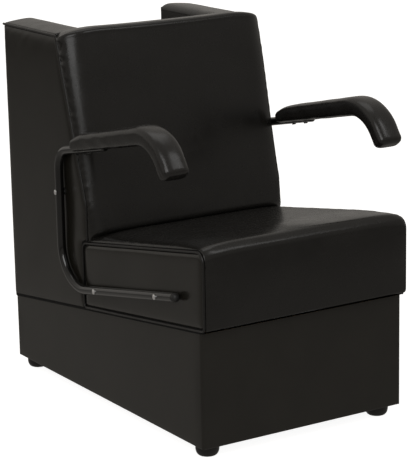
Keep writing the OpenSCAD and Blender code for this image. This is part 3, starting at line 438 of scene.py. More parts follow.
VINYL_RGB = (0.0085, 0.0080, 0.0073)
PANEL_RGB = (0.0128, 0.0117, 0.0094)
MATERIALS = {
    "vinyl": vinyl("vinyl_black", VINYL_RGB, 0.26, 0.012, 0.02),
    "panel": vinyl("vinyl_panel", PANEL_RGB, 0.21, 0.015, 0.03),
    # Near-black matte stuff that paints the shade inside the seams' gaps
    "seam": plastic("seam_painted_shade", (0.002, 0.002, 0.002), 0.9),
    "piping_vinyl": vinyl("vinyl_piping", (0.0070, 0.0065, 0.0060), 0.30, 0.15, 0.15),
    "pad_vinyl": vinyl("vinyl_pad", (0.0090, 0.0082, 0.0075), 0.27, 0.008, 0.02, specular=0.6),
    "dust_cloth": cloth("dust_cloth_black", (0.02, 0.02, 0.02)),
    "foam": foam("foam_cream", (0.75, 0.66, 0.42)),
    "felt": cloth("felt_grey", (0.35, 0.33, 0.30)),
    "foot_plastic": plastic("foot_black", (0.018, 0.018, 0.018), 0.35),
    "black_plastic": plastic("plastic_black", (0.018, 0.018, 0.018), 0.45),
    "spring_wire": steel("spring_steel", (0.45, 0.45, 0.46), 0.35),
    "tube_paint": enamel("tube_black", (0.0020, 0.0019, 0.0018), 0.10),
    "chrome": steel("chrome_bright", (0.90, 0.90, 0.91), 0.25, 0.05),
    "zinc_steel": steel("zinc_dull", (0.60, 0.61, 0.63), 0.38),
    "black_steel": enamel("steel_black", (0.006, 0.006, 0.006), 0.35),
    "plywood": wood("plywood_raw", (0.52, 0.36, 0.20)),
}


def finish_nodes():
    """Every CAD node takes the procedural material of its slot in the record."""
    slots = {part["node"]: part["material_slot"] for part in frame["record"]["subparts"]}
    for name, obj in frame["nodes"].items():
        obj.data.materials.clear()
        obj.data.materials.append(MATERIALS[slots[name]])


# The stage

CAMERA_PLACE = (-2.62019, -4.18481, 1.64063)
CAMERA_TURN = (0.562240, 0.241790, -0.019694)
PHOTO_HEIGHT_PX = 462
FOCAL_PX = 2002.25
SENSOR_MM = 36.0


def make_camera():
    """The camera where the photograph was taken from: turned from +Y towards +X, tipped down, and
    rolled."""
    yaw, pitch, roll = CAMERA_TURN
    ahead = Vector((math.sin(yaw) * math.cos(pitch), math.cos(yaw) * math.cos(pitch), -math.sin(pitch)))
    level = Vector((math.cos(yaw), -math.sin(yaw), 0))
    upright = level.cross(ahead)
    right = level * math.cos(roll) + upright * math.sin(roll)
    up = upright * math.cos(roll) - level * math.sin(roll)
    data = bpy.data.cameras.new("camera")
    data.sensor_width = SENSOR_MM
    data.lens = FOCAL_PX / PHOTO_HEIGHT_PX * SENSOR_MM
    data.clip_end = 100
    camera = bpy.data.objects.new("camera", data)
    bpy.context.scene.collection.objects.link(camera)
    axes = Matrix((right, up, -ahead)).transposed().to_4x4()
    camera.matrix_world = Matrix.Translation(CAMERA_PLACE) @ axes
    bpy.context.scene.camera = camera


def area_light(name, place, target, size, power):
    data = bpy.data.lights.new(name, "AREA")
    data.shape = "RECTANGLE"
    data.size, data.size_y = size
    data.energy = power
    light = bpy.data.objects.new(name, data)
    bpy.context.scene.collection.objects.link(light)
    light.location = place
    light.rotation_euler = (Vector(target) - Vector(place)).to_track_quat("-Z", "Y").to_euler()


def white_where_seen(nodes, links, lit, seen, reflected):
    """Mixes a lit shader with what the camera sees, also through clear pieces, and with what
    glossy surfaces reflect."""
    path = nodes.new("ShaderNodeLightPath")
    shades = (("Is Transmission Ray", seen), ("Is Glossy Ray", reflected), ("Is Camera Ray", seen))
    for ray, shade in shades:
        mix = nodes.new("ShaderNodeMixShader")
        links.new(path.outputs[ray], mix.inputs["Fac"])
        links.new(lit, mix.inputs[1])
        links.new(shade, mix.inputs[2])
        lit = mix.outputs["Shader"]
    return lit


WHITE = (1.0, 1.0, 1.0)
WARM = (1.0, 0.95, 0.88)
WORLD_LIGHT = 0.50
WORLD_SEEN = 1.0
WORLD_REFLECTED = 0.40
FRONT_SHARE = 0.62
FRONT_FADE = 0.6


def make_world():
    """Soft even light, with a plain white background. What glossy surfaces reflect is a little
    darker towards the chair's front."""
    world = bpy.data.worlds.new("studio")
    bpy.context.scene.world = world
    world.use_nodes = True
    nodes, links = world.node_tree.nodes, world.node_tree.links
    nodes.clear()
    shades = []
    for strength, colour in ((WORLD_LIGHT, WARM), (WORLD_SEEN, WHITE), (WORLD_REFLECTED, WARM)):
        node = nodes.new("ShaderNodeBackground")
        node.inputs["Color"].default_value = (*colour, 1)
        node.inputs["Strength"].default_value = strength
        shades.append(node.outputs["Background"])
    split = nodes.new("ShaderNodeSeparateXYZ")
    links.new(nodes.new("ShaderNodeTexCoord").outputs["Generated"], split.inputs["Vector"])
    fade = ramp(nodes, links, split.outputs["Y"], FRONT_SHARE * WORLD_REFLECTED, WORLD_REFLECTED,
                -FRONT_FADE, FRONT_FADE)
    links.new(fade, node.inputs["Strength"])
    output = nodes.new("ShaderNodeOutputWorld")
    links.new(white_where_seen(nodes, links, *shades), output.inputs["Surface"])


FLOOR_HALF = 30.0
FLOOR_GLOW = 0.93
FLOOR_RGB = (0.45, 0.44, 0.42)
FLOOR_REFLECTED = 0.24
FLOOR_FAR_REFLECTED = 0.09
FLOOR_NEAR = 0.8
FLOOR_FAR = 7.5


def make_floor():
    """A pale floor that keeps the chair's soft shadow. Glossy surfaces see it darker further out."""
    mesh = bpy.data.meshes.new("floor")
    corners = [(x * FLOOR_HALF, y * FLOOR_HALF, 0) for x, y in ((-1, -1), (1, -1), (1, 1), (-1, 1))]
    mesh.from_pydata(corners, [], [(0, 1, 2, 3)])
    floor = bpy.data.objects.new("floor", mesh)
    bpy.context.scene.collection.objects.link(floor)
    material = bpy.data.materials.new("floor_white")
    material.use_nodes = True
    nodes, links = material.node_tree.nodes, material.node_tree.links
    nodes.clear()
    paint = nodes.new("ShaderNodeBsdfDiffuse")
    paint.inputs["Color"].default_value = (*FLOOR_RGB, 1)
    glows = []
    for strength, colour in ((FLOOR_GLOW, WHITE), (FLOOR_REFLECTED, WARM)):
        glow = nodes.new("ShaderNodeEmission")
        glow.inputs["Strength"].default_value = strength
        glow.inputs["Color"].default_value = (*colour, 1)
        glows.append(glow.outputs["Emission"])
    reach = nodes.new("ShaderNodeVectorMath")
    reach.operation = "LENGTH"
    links.new(place_of(nodes), reach.inputs[0])
    fade = ramp(nodes, links, reach.outputs["Value"], FLOOR_REFLECTED, FLOOR_FAR_REFLECTED,
                FLOOR_NEAR, FLOOR_FAR)
    links.new(fade, glow.inputs["Strength"])
    seen = nodes.new("ShaderNodeAddShader")
    links.new(glows[0], seen.inputs[0])
    links.new(paint.outputs["BSDF"], seen.inputs[1])
    output = nodes.new("ShaderNodeOutputMaterial")
    shown = white_where_seen(nodes, links, paint.outputs["BSDF"], seen.outputs["Shader"], glows[1])
    links.new(shown, output.inputs["Surface"])
    mesh.materials.append(material)


LIGHT_TARGET = (0, -0.05, 0.5)
# Name, place in metres, size in metres, power in watts
LIGHTS = (
    ("key", (-2.2, -2.6, 2.6), (2.2, 2.2), 34),
    ("fill", (1.1, -1.7, 2.6), (0.6, 0.9), 3),
    ("top", (0.2, 0.5, 3.2), (2.2, 1.4), 6),
)


def make_lights():
    for name, place, size, power in LIGHTS:
        area_light(name, place, LIGHT_TARGET, size, power)


# The seat cushion

SEAT_X = UNIT_X - PIPE_D
CROWN_POWER = 7
FRONT_CROWN_SHARE = 0.35
CROWN_FADE_D = 150.0
SEAT_END_Y = KNEE_Y + 10
SEAT_UNDER = 60.0
SEAT_LOW_D = 20.0
SEAT_LIFT = 3.5
SEAT_LIP_Y = -10.0
CREASE_DIP = 8.0
CREASE_D = 34.0
LOW_ROLL_R = 7.0
# How strongly the vinyl is drawn at the sides, on the front and on the top, and how far in
FRONT_DRAWN = 0.3
TOP_DRAWN = 0.9
DRAWN_D = 26.0
# The slight dent along the front edge
DENT = 1.8
DENT_D = 7.0
# Where waves fade out towards the sides
SIDE_FADE_D = 40.0


def side_fade(x):
    return np.sqrt(np.maximum(0, 1 - (np.abs(x) / SEAT_X) ** CROWN_POWER))


def seat_z(x, y):
    """Height of the crowned seat."""
    s = np.clip((y - SEAT_FRONT_Y) / CROWN_FADE_D, 0, 1)
    fade = FRONT_CROWN_SHARE + (1 - FRONT_CROWN_SHARE) * s * (2 - s)
    sink = np.clip((y - FACE_KNEE_Y + CREASE_D) / CREASE_D, 0, 1)
    dip = CREASE_DIP * sink * sink * (1 - (np.abs(x) / SEAT_X) ** CROWN_POWER)
    return seat_line(y) + SEAT_CROWN * side_fade(x) * fade - dip


def even_sine(count, half):
    """Places across the chair, closer together near the sides."""
    return half * np.sin(np.linspace(-math.pi / 2, math.pi / 2, count))


def seat_profile(x):
    """Points of the seat's surface at a place across the chair, from the lower front edge up the
    front, over the edge and back along the top."""
    y_c = SEAT_FRONT_Y + SEAT_EDGE_R
    z_c = seat_z(x, y_c) - SEAT_EDGE_R
    z_b = deck_z(SEAT_FRONT_Y) + SEAT_LIFT
    s = np.linspace(0, 1, 32)[:-1]
    s = np.concatenate([LOW_ROLL_R / (z_c - z_b) * s[:8] / s[7], s[8:]])
    swell = SEAT_SWELL * np.sin(math.pi * s) * (1 - (abs(x) / SEAT_X) ** (2 * CROWN_POWER))
    z = z_b + s * (z_c - z_b)
    rise = np.clip(1 - (z - z_b) / LOW_ROLL_R, 0, 1)
    roll = LOW_ROLL_R * (1 - np.sqrt(1 - rise ** 2))
    front = np.stack([SEAT_FRONT_Y - swell + roll, z], 1)
    t = np.linspace(0, math.pi / 2, 15)
    edge = np.stack([y_c - SEAT_EDGE_R * np.cos(t), z_c + SEAT_EDGE_R * np.sin(t)], 1)
    y = y_c + np.linspace(0, 1, 46)[1:] * (SEAT_END_Y - y_c)
    top = np.stack([y, seat_z(x, y)], 1)
    return np.concatenate([front, edge, top])


def make_seat():
    """The seat cushion: crowned, with a soft waterfall edge and faint waves drawn from the sides."""
    xs = even_sine(91, SEAT_X)
    grid = np.array([[(x, y, z) for y, z in seat_profile(x)] for x in xs])
    n = normals(grid)
    if n[len(xs) // 2, 5, 1] > 0:
        n = -n
    x, y, z = grid[..., 0], grid[..., 1], grid[..., 2]
    along = (y + z) / 100
    from_side = SEAT_X - np.abs(x)
    near_side = np.exp(-from_side / DRAWN_D) * (1 - np.exp(-from_side / 4))
    drawn = np.where(x < 0, ripple(along, 1, 7, 2, 6), ripple(along, 2, 7, 2, 6)) * near_side
    drawn *= np.where(y < SEAT_FRONT_Y + SEAT_EDGE_R, FRONT_DRAWN, TOP_DRAWN)
    waves = ripple(x / 300 + y / 700, 3, 5, 0.5, 1.6) * ripple(y / 260, 4, 4, 0.5, 1.4) * 0.9
    inside = np.clip(from_side / SIDE_FADE_D, 0, 1)
    dent = DENT * np.exp(-((y - SEAT_FRONT_Y - SEAT_EDGE_R * 0.35) / DENT_D) ** 2) * inside
    grid = grid + n * (drawn + (waves - dent) * inside)[..., None]
    # The cushion goes down behind its top, under the back
    back = grid[:, -1:, :] + np.array([0, 0, -SEAT_UNDER])
    lip = grid[:, :1, :].copy()
    lip[..., 1] = SEAT_LIP_Y
    foot = lip.copy()
    foot[..., 2] = deck_z(SEAT_LIP_Y) + 0.3
    low = foot.copy()
    low[..., 1] = SEAT_LOW_D
    low[..., 2] = deck_z(SEAT_LOW_D) + 0.2
    grid = np.concatenate([low, foot, lip, grid, back], axis=1)
    seat = cushion("seat_cushion", grid)
    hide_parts("seat_cover", "seat_foam")


# The back cushion

BACK_X = SIDE_X + 2.0
TUCK_Y = 3.0
CREASE_R = 15.0
BACK_FALL = 14.0
BACK_FALL_POWER = 2.2
SIDE_Z = (400, 460, 560, 650, 750, 850, 885, 920)
SIDE_OUT = (-9, -3, 0, 4, 7, 8, 7, 3)
SHOULDER_D = 110.0
SHOULDER_FALL = 9.0
CORNER_R = 28.0
CORNER_FALL = 15.0
BACK_END_Y = FACE_TOP_Y + BACK_TOP_D
BACK_UNDER = 4.0
BACK_BULGE = 3.0
# How much the side walls pucker, on the left and on the right, and from which height on
LEFT_PUCKER = 2.2
RIGHT_PUCKER = 0.8
PUCKER_Z = 560.0
PUCKER_RISE = 120.0
# Height on the wings that the top's rear edge is carried by
HELD_Z = WING_TOP - 6.0
NECK_Z = seat_line(KNEE_Y) + SEAT_CROWN


def back_top(x):
    """Height of the cushion's top, which dips a little in the middle."""
    dip = BACK_DIP * np.maximum(0, 1 - (x / (BACK_X * 0.7)) ** 2)
    s = np.clip((np.abs(x) - BACK_X + SHOULDER_D) / SHOULDER_D, 0, 1)
    t = np.clip((np.abs(x) - BACK_X + CORNER_R) / CORNER_R, 0, 1)
    return WING_TOP + BACK_CROWN - dip - SHOULDER_FALL * s ** 2 - CORNER_FALL * (1 - np.sqrt(1 - t ** 2))


def side_shape(z):
    """How far the cushion's sides stand out at a height: most at its middle, and in at its foot."""
    return np.interp(z, SIDE_Z, SIDE_OUT)


def back_profile(x):
    """The cushion's face from its lower edge up, over the top edge and back, with the line on the
    wings that each point is carried by."""
    top = back_top(x)
    z_c = top - BACK_EDGE_R
    z_b = seat_z(x, FACE_KNEE_Y) - BACK_UNDER
    s = np.linspace(0, 1, 110)[:-1]
    z = z_b + s * (z_c - z_b)
    turn = np.clip(1 - (z - z_b - CREASE_DIP) / CREASE_R, 0, 1)
    face = np.stack([face_y(z) + CREASE_R * (1 - np.sqrt(1 - turn ** 2)), z], 1)
    held = np.stack([wing_y(z) + TUCK_Y, z], 1)
    t = np.linspace(0, math.pi / 2, 15)
    y_c = face_y(z_c) + BACK_EDGE_R
    edge = np.stack([y_c - BACK_EDGE_R * np.cos(t), z_c + BACK_EDGE_R * np.sin(t)], 1)
    held_z = z_c + (HELD_Z - z_c) * np.sin(t)
    edge_held = np.stack([wing_y(held_z) + TUCK_Y, held_z], 1)
    y = np.linspace(y_c, BACK_END_Y, 14)[1:]
    u = (y - y_c) / (BACK_END_Y - y_c)
    over = np.stack([y, top - BACK_FALL * u ** BACK_FALL_POWER], 1)
    over_held = np.stack([np.maximum(y, edge_held[-1, 0]), np.full_like(y, HELD_Z)], 1)
    return np.concatenate([face, edge, over]), np.concatenate([held, edge_held, over_held])


def make_back():
    """The back cushion: a flat face, tight round edges, and side walls that pucker where they are
    drawn in behind the piping."""
    columns = [(-BACK_X, share, None) for share in np.linspace(1, 0, 7)[:-1]]
    angles = np.linspace(math.pi / 2, 0, 11)
    columns += [(None, None, -a) for a in angles[:-1]]
    flat = BACK_X - BACK_SIDE_R
    columns += [(x, None, None) for x in even_sine(61, flat)]
    columns += [(None, None, a) for a in angles[::-1][1:]]
    columns += [(BACK_X, share, None) for share in np.linspace(0, 1, 7)[1:]]
    sections = []
    tucks = []
    for x, share, angle in columns:
        at = x if x is not None else math.copysign(flat, angle) + BACK_SIDE_R * math.sin(angle)
        face, held = back_profile(at)
        depth = np.linalg.norm(held - face, axis=1)
        corner = np.minimum(BACK_SIDE_R, depth * 0.85)
        if angle is not None:
            inward = corner * (1 - math.cos(angle)) / depth
        elif share is not None:
            inward = corner / depth + (1 - corner / depth) * share
        else:
            inward = np.zeros_like(depth)
        point = face + (held - face) * inward[:, None]
        outward = math.copysign(1, at) * BACK_WALL_BULGE * np.clip(depth / 50, 0, 1) ** 2
        wide = at + outward * np.sin(math.pi * np.clip(inward, 0, 1)) * (inward > 0)
        wide = wide + side_shape(face[:, 1]) * (at / BACK_X) ** 5 * np.clip(1 - inward, 0, 1)
        sections.append(np.column_stack([wide, point]))
        tucks.append(inward)
    grid = np.array(sections)
    n = normals(grid)
    if n[len(columns) // 2, 20, 1] > 0:
        n = -n
    x, z = grid[..., 0], grid[..., 2]
    tuck = np.array(tucks)
    wall = np.sin(math.pi * np.clip((tuck - 0.4) / 0.6, 0, 1))
    left = LEFT_PUCKER * ripple(z / 100, 11, 8, 1.5, 5.5)
    right = RIGHT_PUCKER * ripple(z / 100, 12, 8, 1.5, 5.5)
    pucker = wall * np.where(x < 0, left, right) * np.clip((z - PUCKER_Z) / PUCKER_RISE, 0.25, 1)
    u = x / BACK_X
    v = np.clip((z - NECK_Z) / (WING_TOP - NECK_Z), 0, 1)
    bulge = BACK_BULGE * (1 - u ** 4) * np.sin(math.pi * v) ** 0.7
    waves = ripple(x / 320 + z / 500, 13, 4, 0.5, 1.4) * ripple(z / 300, 14, 4, 0.5, 1.5)
    waves = waves * 0.8 * (1 - u ** 8)
    grid = grid + n * (pucker + bulge + waves)[..., None]
    back = cushion("back_cushion", grid)
    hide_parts("back_cover", "back_foam")


# The side panels

PANEL_OUT = UNIT_X - 5.0
PANEL_BULGE = 4.6
PANEL_SOFT = 6.0
PANEL_BACK = SIDE_X + 0.6
PANEL_EDGE_H = 160.0
PANEL_DRAWN = 0.12
PANEL_WAVE = 0.8
SEAM_GAP = 5.0
WING_LOW_R = 9.0


def panel_grid(low, high, left, right, nu, nv, seed):
    """A padded panel over an outline in the side view: low(y) and high(y) bound its height, left(z)
    and right(z) its depth. It stands furthest out in its middle, and is drawn in along its edge."""
    s = np.linspace(0, 1, nu)
    t = (1 - np.cos(np.linspace(0, math.pi, nv))) / 2
    grid = np.zeros((nu, nv, 3))
    for i, a in enumerate(s):
        for j, b in enumerate(t):
            z = low(left(0) + a * (right(0) - left(0)))
            for _ in range(6):
                y = left(z) + a * (right(z) - left(z))
                z = low(y) + b * (high(y) - low(y))
            grid[i, j] = (0, y, z)
    a, b = np.meshgrid(s, t, indexing="ij")
    span_y = right(0) - left(0)
    edge = np.minimum(np.minimum(a, 1 - a) * span_y, np.minimum(b, 1 - b) * PANEL_EDGE_H)
    full = 1 - np.exp(-edge / PANEL_SOFT)
    y, z = grid[..., 1], grid[..., 2]
    drawn = np.exp(-edge / 16) * (1 - np.exp(-edge / 3)) * ripple((y + z) / 100, seed, 8, 1.0, 3)
    waves = ripple(y / 320 + z / 400, seed + 1, 5, 0.6, 1.6) * (1 - np.exp(-edge / 60))
    grid[..., 0] = PANEL_OUT + PANEL_BULGE * full + PANEL_DRAWN * drawn + PANEL_WAVE * waves
    return grid


def panel_piece(name, side, grid):
    """A closed panel on one side, with a flat back."""
    front = grid.reshape(-1, 3)
    back = front.copy()
    back[:, 0] = PANEL_BACK
    points = np.concatenate([front, back]) * np.array([side, 1, 1])
    faces = shell_faces(*grid.shape[:2])
    return facing_out(piece(name, points, faces, "panel"))


def arc_in(distance, r):
    """How far a round corner lies inside its square one, at a distance along the other edge."""
    near = min(1.0, max(0.0, 1 - distance / r))
    return r * (1 - math.sqrt(1 - near * near))


def seat_front(z):
    """Front edge of the seat's side panel, with its two round corners."""
    y0 = SEAT_FRONT_Y + PANEL_INSET
    low, high = deck_z(y0) + PANEL_INSET + PIPE_LIFT, seat_line(y0) - PANEL_INSET
    return y0 + arc_in(z - low, LOW_CORNER_R - PIPE_D) + arc_in(high - z, SEAT_EDGE_R - PIPE_D)


def seat_rear(z):
    """Rear edge of the seat's side panel, with its two round corners."""
    y1 = SEAT_D - PANEL_INSET
    low, high = deck_z(y1) + PANEL_INSET + PIPE_LIFT, seat_line(y1) - PANEL_INSET
    return y1 - arc_in(z - low, LOW_CORNER_R - PIPE_D) - arc_in(high - z, SEAT_CORNER_R - PIPE_D)


def wing_front(z):
    """Front edge of the wing's side panel, which steps back behind the seat."""
    lip = seat_line(KNEE_Y) + PIPE_R
    low_y = SEAT_D + GROOVE
    if z < lip - LIP_SLOPE:
        return low_y
    ahead = float(wing_y(z)) + PANEL_INSET
    if z < lip:
        return max(ahead, low_y - (z - lip + LIP_SLOPE))
    return ahead + arc_in(WING_TOP - PANEL_INSET - z, WING_CORNER_R - PIPE_D)


def wing_rear(z):
    """Rear edge of the wing's side panel, with a round lower corner."""
    return REAR_Y - 0.5 - arc_in(z - deck_z(REAR_Y) - SEAM_GAP, WING_LOW_R)


def make_side_panels():
    """The vinyl panels on the sides of the seat and of the wings."""
    for side in SIDES:
        word = SIDE_NAME[side]
        grid = panel_grid(
            lambda y: deck_z(y) + PANEL_INSET + PIPE_LIFT, lambda y: seat_line(y) - PANEL_INSET,
            seat_front, seat_rear, 90, 40, 21 + side)
        panel = panel_piece("seat_side_panel_" + word, side, grid)
        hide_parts("seat_side_cover_" + word)
        grid = panel_grid(
            lambda y: deck_z(y) + SEAM_GAP, lambda y: WING_TOP - PANEL_INSET,
            wing_front, wing_rear, 60, 120, 31 + side)
        panel = panel_piece("wing_side_panel_" + word, side, grid)
        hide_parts("wing_side_cover_" + word)


# The seams: dark pieces behind them that paint their shade

# Places of the dark pieces that paint the shade behind the seams and cover the frame's wood there
SEAM_SHADE_X = (SIDE_X + 0.1, SIDE_X + 0.5)
FRONT_SHADE_W = 14.0
FRONT_SHADE_Y = 4.5
FRONT_SHADE_T = 0.6
SHADE_STRIP_DOWN = 1.6
SHADE_STRIP_UP = 3.2
SHADE_STRIP_END = 1.0
SHADE_STRIP_FRONT_Y = 0.6
SHADE_STRIP_REAR_Y = 7.0


def seam_shade_piece(name, first, last):
    """A dark piece behind a seam that paints the shade in its gap, between two outlines with the same
    number of points.
    """
    count = len(first)
    faces = [list(range(count)), [count + k for k in range(count)][::-1]]
    faces += [[k, count + k, count + (k + 1) % count, (k + 1) % count] for k in range(count)]
    facing_out(piece(name, first + last, faces, "seam", smooth=False))


def box_outline(a, b, low, high):
    """Corners of a rectangle that runs from a to b and from low to high."""
    return [(a, low), (b, low), (b, high), (a, high)]


def make_seam_shade():
    """Dark pieces behind the seams on each side, from the seat's front to the rear, that paint the shade
    in the gaps and cover the frame's wood there.
    """
    lip = seat_line(KNEE_Y)
    front_y = SEAT_FRONT_Y + PIPE_D
    front_top = seat_line(SEAT_FRONT_Y) - SEAT_EDGE_R
    outline = [(front_y, deck_z(front_y)), (REAR_Y - 1, deck_z(REAR_Y - 1)), (REAR_Y - 1, WING_TOP - 1),
               (float(wing_y(WING_TOP)) + 2, WING_TOP - 1), (KNEE_Y + 2, KNEE_Z), (KNEE_Y + 2, lip - 1),
               (SEAT_FRONT_Y + SEAT_EDGE_R, seat_line(SEAT_FRONT_Y) - 2), (front_y, front_top)]
    shade_strip = box_outline(SEAM_SHADE_X[1], BASE_X - 0.1, -SHADE_STRIP_DOWN, SHADE_STRIP_UP)
    y0 = SEAT_FRONT_Y + FRONT_SHADE_Y
    for side in SIDES:
        word = SIDE_NAME[side]
        seam_shade_piece("side_seam_shade_" + word, *([(side * x, y, z) for y, z in outline] for x in SEAM_SHADE_X))
        seam_shade_piece("seam_shade_strip_" + word, *([(side * x, y, deck_z(y) + z) for x, z in shade_strip]
                                          for y in (SHADE_STRIP_END, BASE_D - SHADE_STRIP_END)))
        shade_sheet = box_outline(side * (SIDE_X - FRONT_SHADE_W), side * (SIDE_X - 0.2), y0, y0 + FRONT_SHADE_T)
        seam_shade_piece("front_liner_" + word, *([(x, y, z) for x, y in shade_sheet]
                                            for z in (deck_z(SEAT_FRONT_Y) + PIPE_D, front_top)))
    # Strips of painted shade under the seat's front and along the rear's lower edge
    x = BASE_X - BASE_CORNER_R
    shade_strip = box_outline(SHADE_STRIP_FRONT_Y, SHADE_STRIP_REAR_Y, -SHADE_STRIP_DOWN, SHADE_STRIP_UP)
    seam_shade_piece("seam_shade_strip_front", *([(end, y, deck_z(y) + z) for y, z in shade_strip] for end in (-x, x)))
    x = SIDE_X - 0.5
    low, high = deck_z(REAR_Y) - SHADE_STRIP_DOWN, deck_z(REAR_Y) + REAR_GAP + SHADE_STRIP_DOWN
    shade_strip = box_outline(BASE_D - 0.5, REAR_Y - REAR_T + 1.2, low, high)
    seam_shade_piece("seam_shade_strip_rear", *([(end, y, z) for y, z in shade_strip] for end in (-x, x)))


# The piping

PIPE_SIDES = 14
PIPE_STEP = 6.0
KNEE_R = 60.0


def make_piping():
    """Piping along the wings' top and slanted front, and round the sides of the seat."""
    x = UNIT_X - PIPE_R
    pipe_run = PIPE_D / math.cos(math.atan((WING_TOP_Y - KNEE_Y) / (WING_TOP - KNEE_Z)))
    top = WING_TOP - PIPE_R
    lip = seat_line(KNEE_Y) + PIPE_R
    ahead = KNEE_Y + pipe_run / 2
    y0 = SEAT_FRONT_Y + PIPE_R
    y1 = SEAT_D - PIPE_R
    radii = [0] + [r - PIPE_R for r in (LOW_CORNER_R, SEAT_CORNER_R, SEAT_EDGE_R, LOW_CORNER_R)] + [0]
    for side in SIDES:
        word = SIDE_NAME[side]
        at = side * x
        bend = (at, wing_y(top) + pipe_run / 2, top)
        path = rounded_path([(at, REAR_Y, top), bend, (at, ahead, KNEE_Z), (at, ahead, lip)],
                            [0, WING_CORNER_R - PIPE_R, KNEE_R, 0], PIPE_STEP)
        pipe = tube("wing_pipe_" + word, path, PIPE_R, PIPE_SIDES, "piping_vinyl")
        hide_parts("wing_piping_" + word)
        corners = [(at, y0, deck_z(y0) + PIPE_R + PIPE_LIFT), (at, y1, deck_z(y1) + PIPE_R + PIPE_LIFT),
                   (at, y1, seat_line(y1) - PIPE_R), (at, y0, seat_line(y0) - PIPE_R)]
        middle = (np.array(corners[0]) + np.array(corners[1])) / 2
        loop = [middle] + corners[1:] + [corners[0], middle]
        path = rounded_path(loop, radii, PIPE_STEP)[:-1]
        pipe = tube("seat_pipe_" + word, path, PIPE_R, PIPE_SIDES, "piping_vinyl", closed=True)
        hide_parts("seat_piping_" + word)


# The arms

TUBE_R = 11.0
ARM_X = UNIT_X + 2.0 + TUBE_R
UPRIGHT_Y = 631.0
TUBE_FRONT_Y = 84.0
TUBE_REAR_Y = 392.0
BOLT_FRONT_Y = 158.0
TUBE_LOW_Z = 340.0
TUBE_TOP_Z = 611.0
TUBE_SLOPE = math.tan(math.radians(10.3))
PAD_SLOPE = math.tan(math.radians(11.6))
TUBE_BENDS = (0, 100.0, 55.0, 0)
TUBE_STEP = 5.0
TUBE_SIDES = 40
PAD_W = 70.0
PAD_THICK = (43.0, 48.0, 44.0)
PAD_LINE_Y = (519.0, 133.0, 66.0)
PAD_DROP = 93.0
PAD_BEND_R = 108.0
PAD_LIFT = 6.0
PAD_SIDES = 96
PAD_STEP = 4.0
PAD_LENGTH = 490.0
PAD_DRAWN = 0.2
# Gathers near the ends of the rests
GATHER_AT = 12.0
GATHER_REACH = 8.0
GATHER_H = 0.5
GATHERS = 22
PAD_END_R = 15.0
PAD_TAPER = 14.0
PAD_TAPER_D = 70.0
# How square the rests' sections are, above and below
TOP_POWER = 0.66
UNDER_POWER = 0.50


def tube_low(y):
    return TUBE_LOW_Z - TUBE_SLOPE * (y - BOLT_FRONT_Y)


def tube_high(y):
    return TUBE_TOP_Z + PAD_SLOPE * (UPRIGHT_Y - y)


def pad_low(y):
    return tube_high(y) - TUBE_R + PAD_LIFT


def pad_rings():
    """Sections of an arm pad along its line, which bends down at the front."""
    y0, y1, y2 = PAD_LINE_Y
    rear_t, crest_t, front_t = PAD_THICK
    corners = [(0, y0, pad_low(y0) + rear_t / 2), (0, y1, pad_low(y1) + crest_t / 2),
               (0, y2, pad_low(y1) + crest_t / 2 - PAD_DROP)]
    path = rounded_path(corners, [0, PAD_BEND_R, 0], PAD_STEP)
    steps = np.linalg.norm(np.diff(path, axis=0), axis=1)
    s = np.concatenate([[0], np.cumsum(steps)])
    length = s[-1]
    end = PAD_END_R * (1 - np.cos(np.linspace(0, math.pi / 2, 9)))
    middle = np.linspace(PAD_END_R, length - PAD_END_R, 90)
    places = np.concatenate([end[:-1], middle, length - end[-2::-1]])
    line = np.stack([np.interp(places, s, path[:, k]) for k in range(3)], 1)
    heading = np.gradient(line, axis=0)
    heading /= np.linalg.norm(heading, axis=1, keepdims=True)
    bend_at = length - PAD_DROP * 1.25
    thick = np.interp(places, [0, bend_at * 0.9, length], [rear_t, crest_t, front_t])
    taper = PAD_TAPER * np.clip(1 - places / PAD_TAPER_D, 0, 1) ** 2
    from_end = np.minimum(places, length - places)
    close = np.sqrt(np.clip(1 - (1 - from_end / PAD_END_R).clip(0) ** 2, 0, 1))
    angle = (np.arange(PAD_SIDES) + 0.5) / PAD_SIDES * 2 * math.pi
    power = np.where(np.sin(angle) < 0, UNDER_POWER, TOP_POWER)
    rings = []
    for p, h, t, k, cut in zip(line, heading, thick - taper, close, taper):
        shrink = PAD_END_R * (1 - k)
        u = np.sign(np.cos(angle)) * np.abs(np.cos(angle)) ** power * (PAD_W / 2 - shrink)
        v = np.sign(np.sin(angle)) * np.abs(np.sin(angle)) ** power * (t / 2 - shrink)
        up = np.array([0, h[2], -h[1]])
        rings.append(p + np.outer(u, [1, 0, 0]) + np.outer(v - cut / 2, up))
    return np.array(rings), places / length


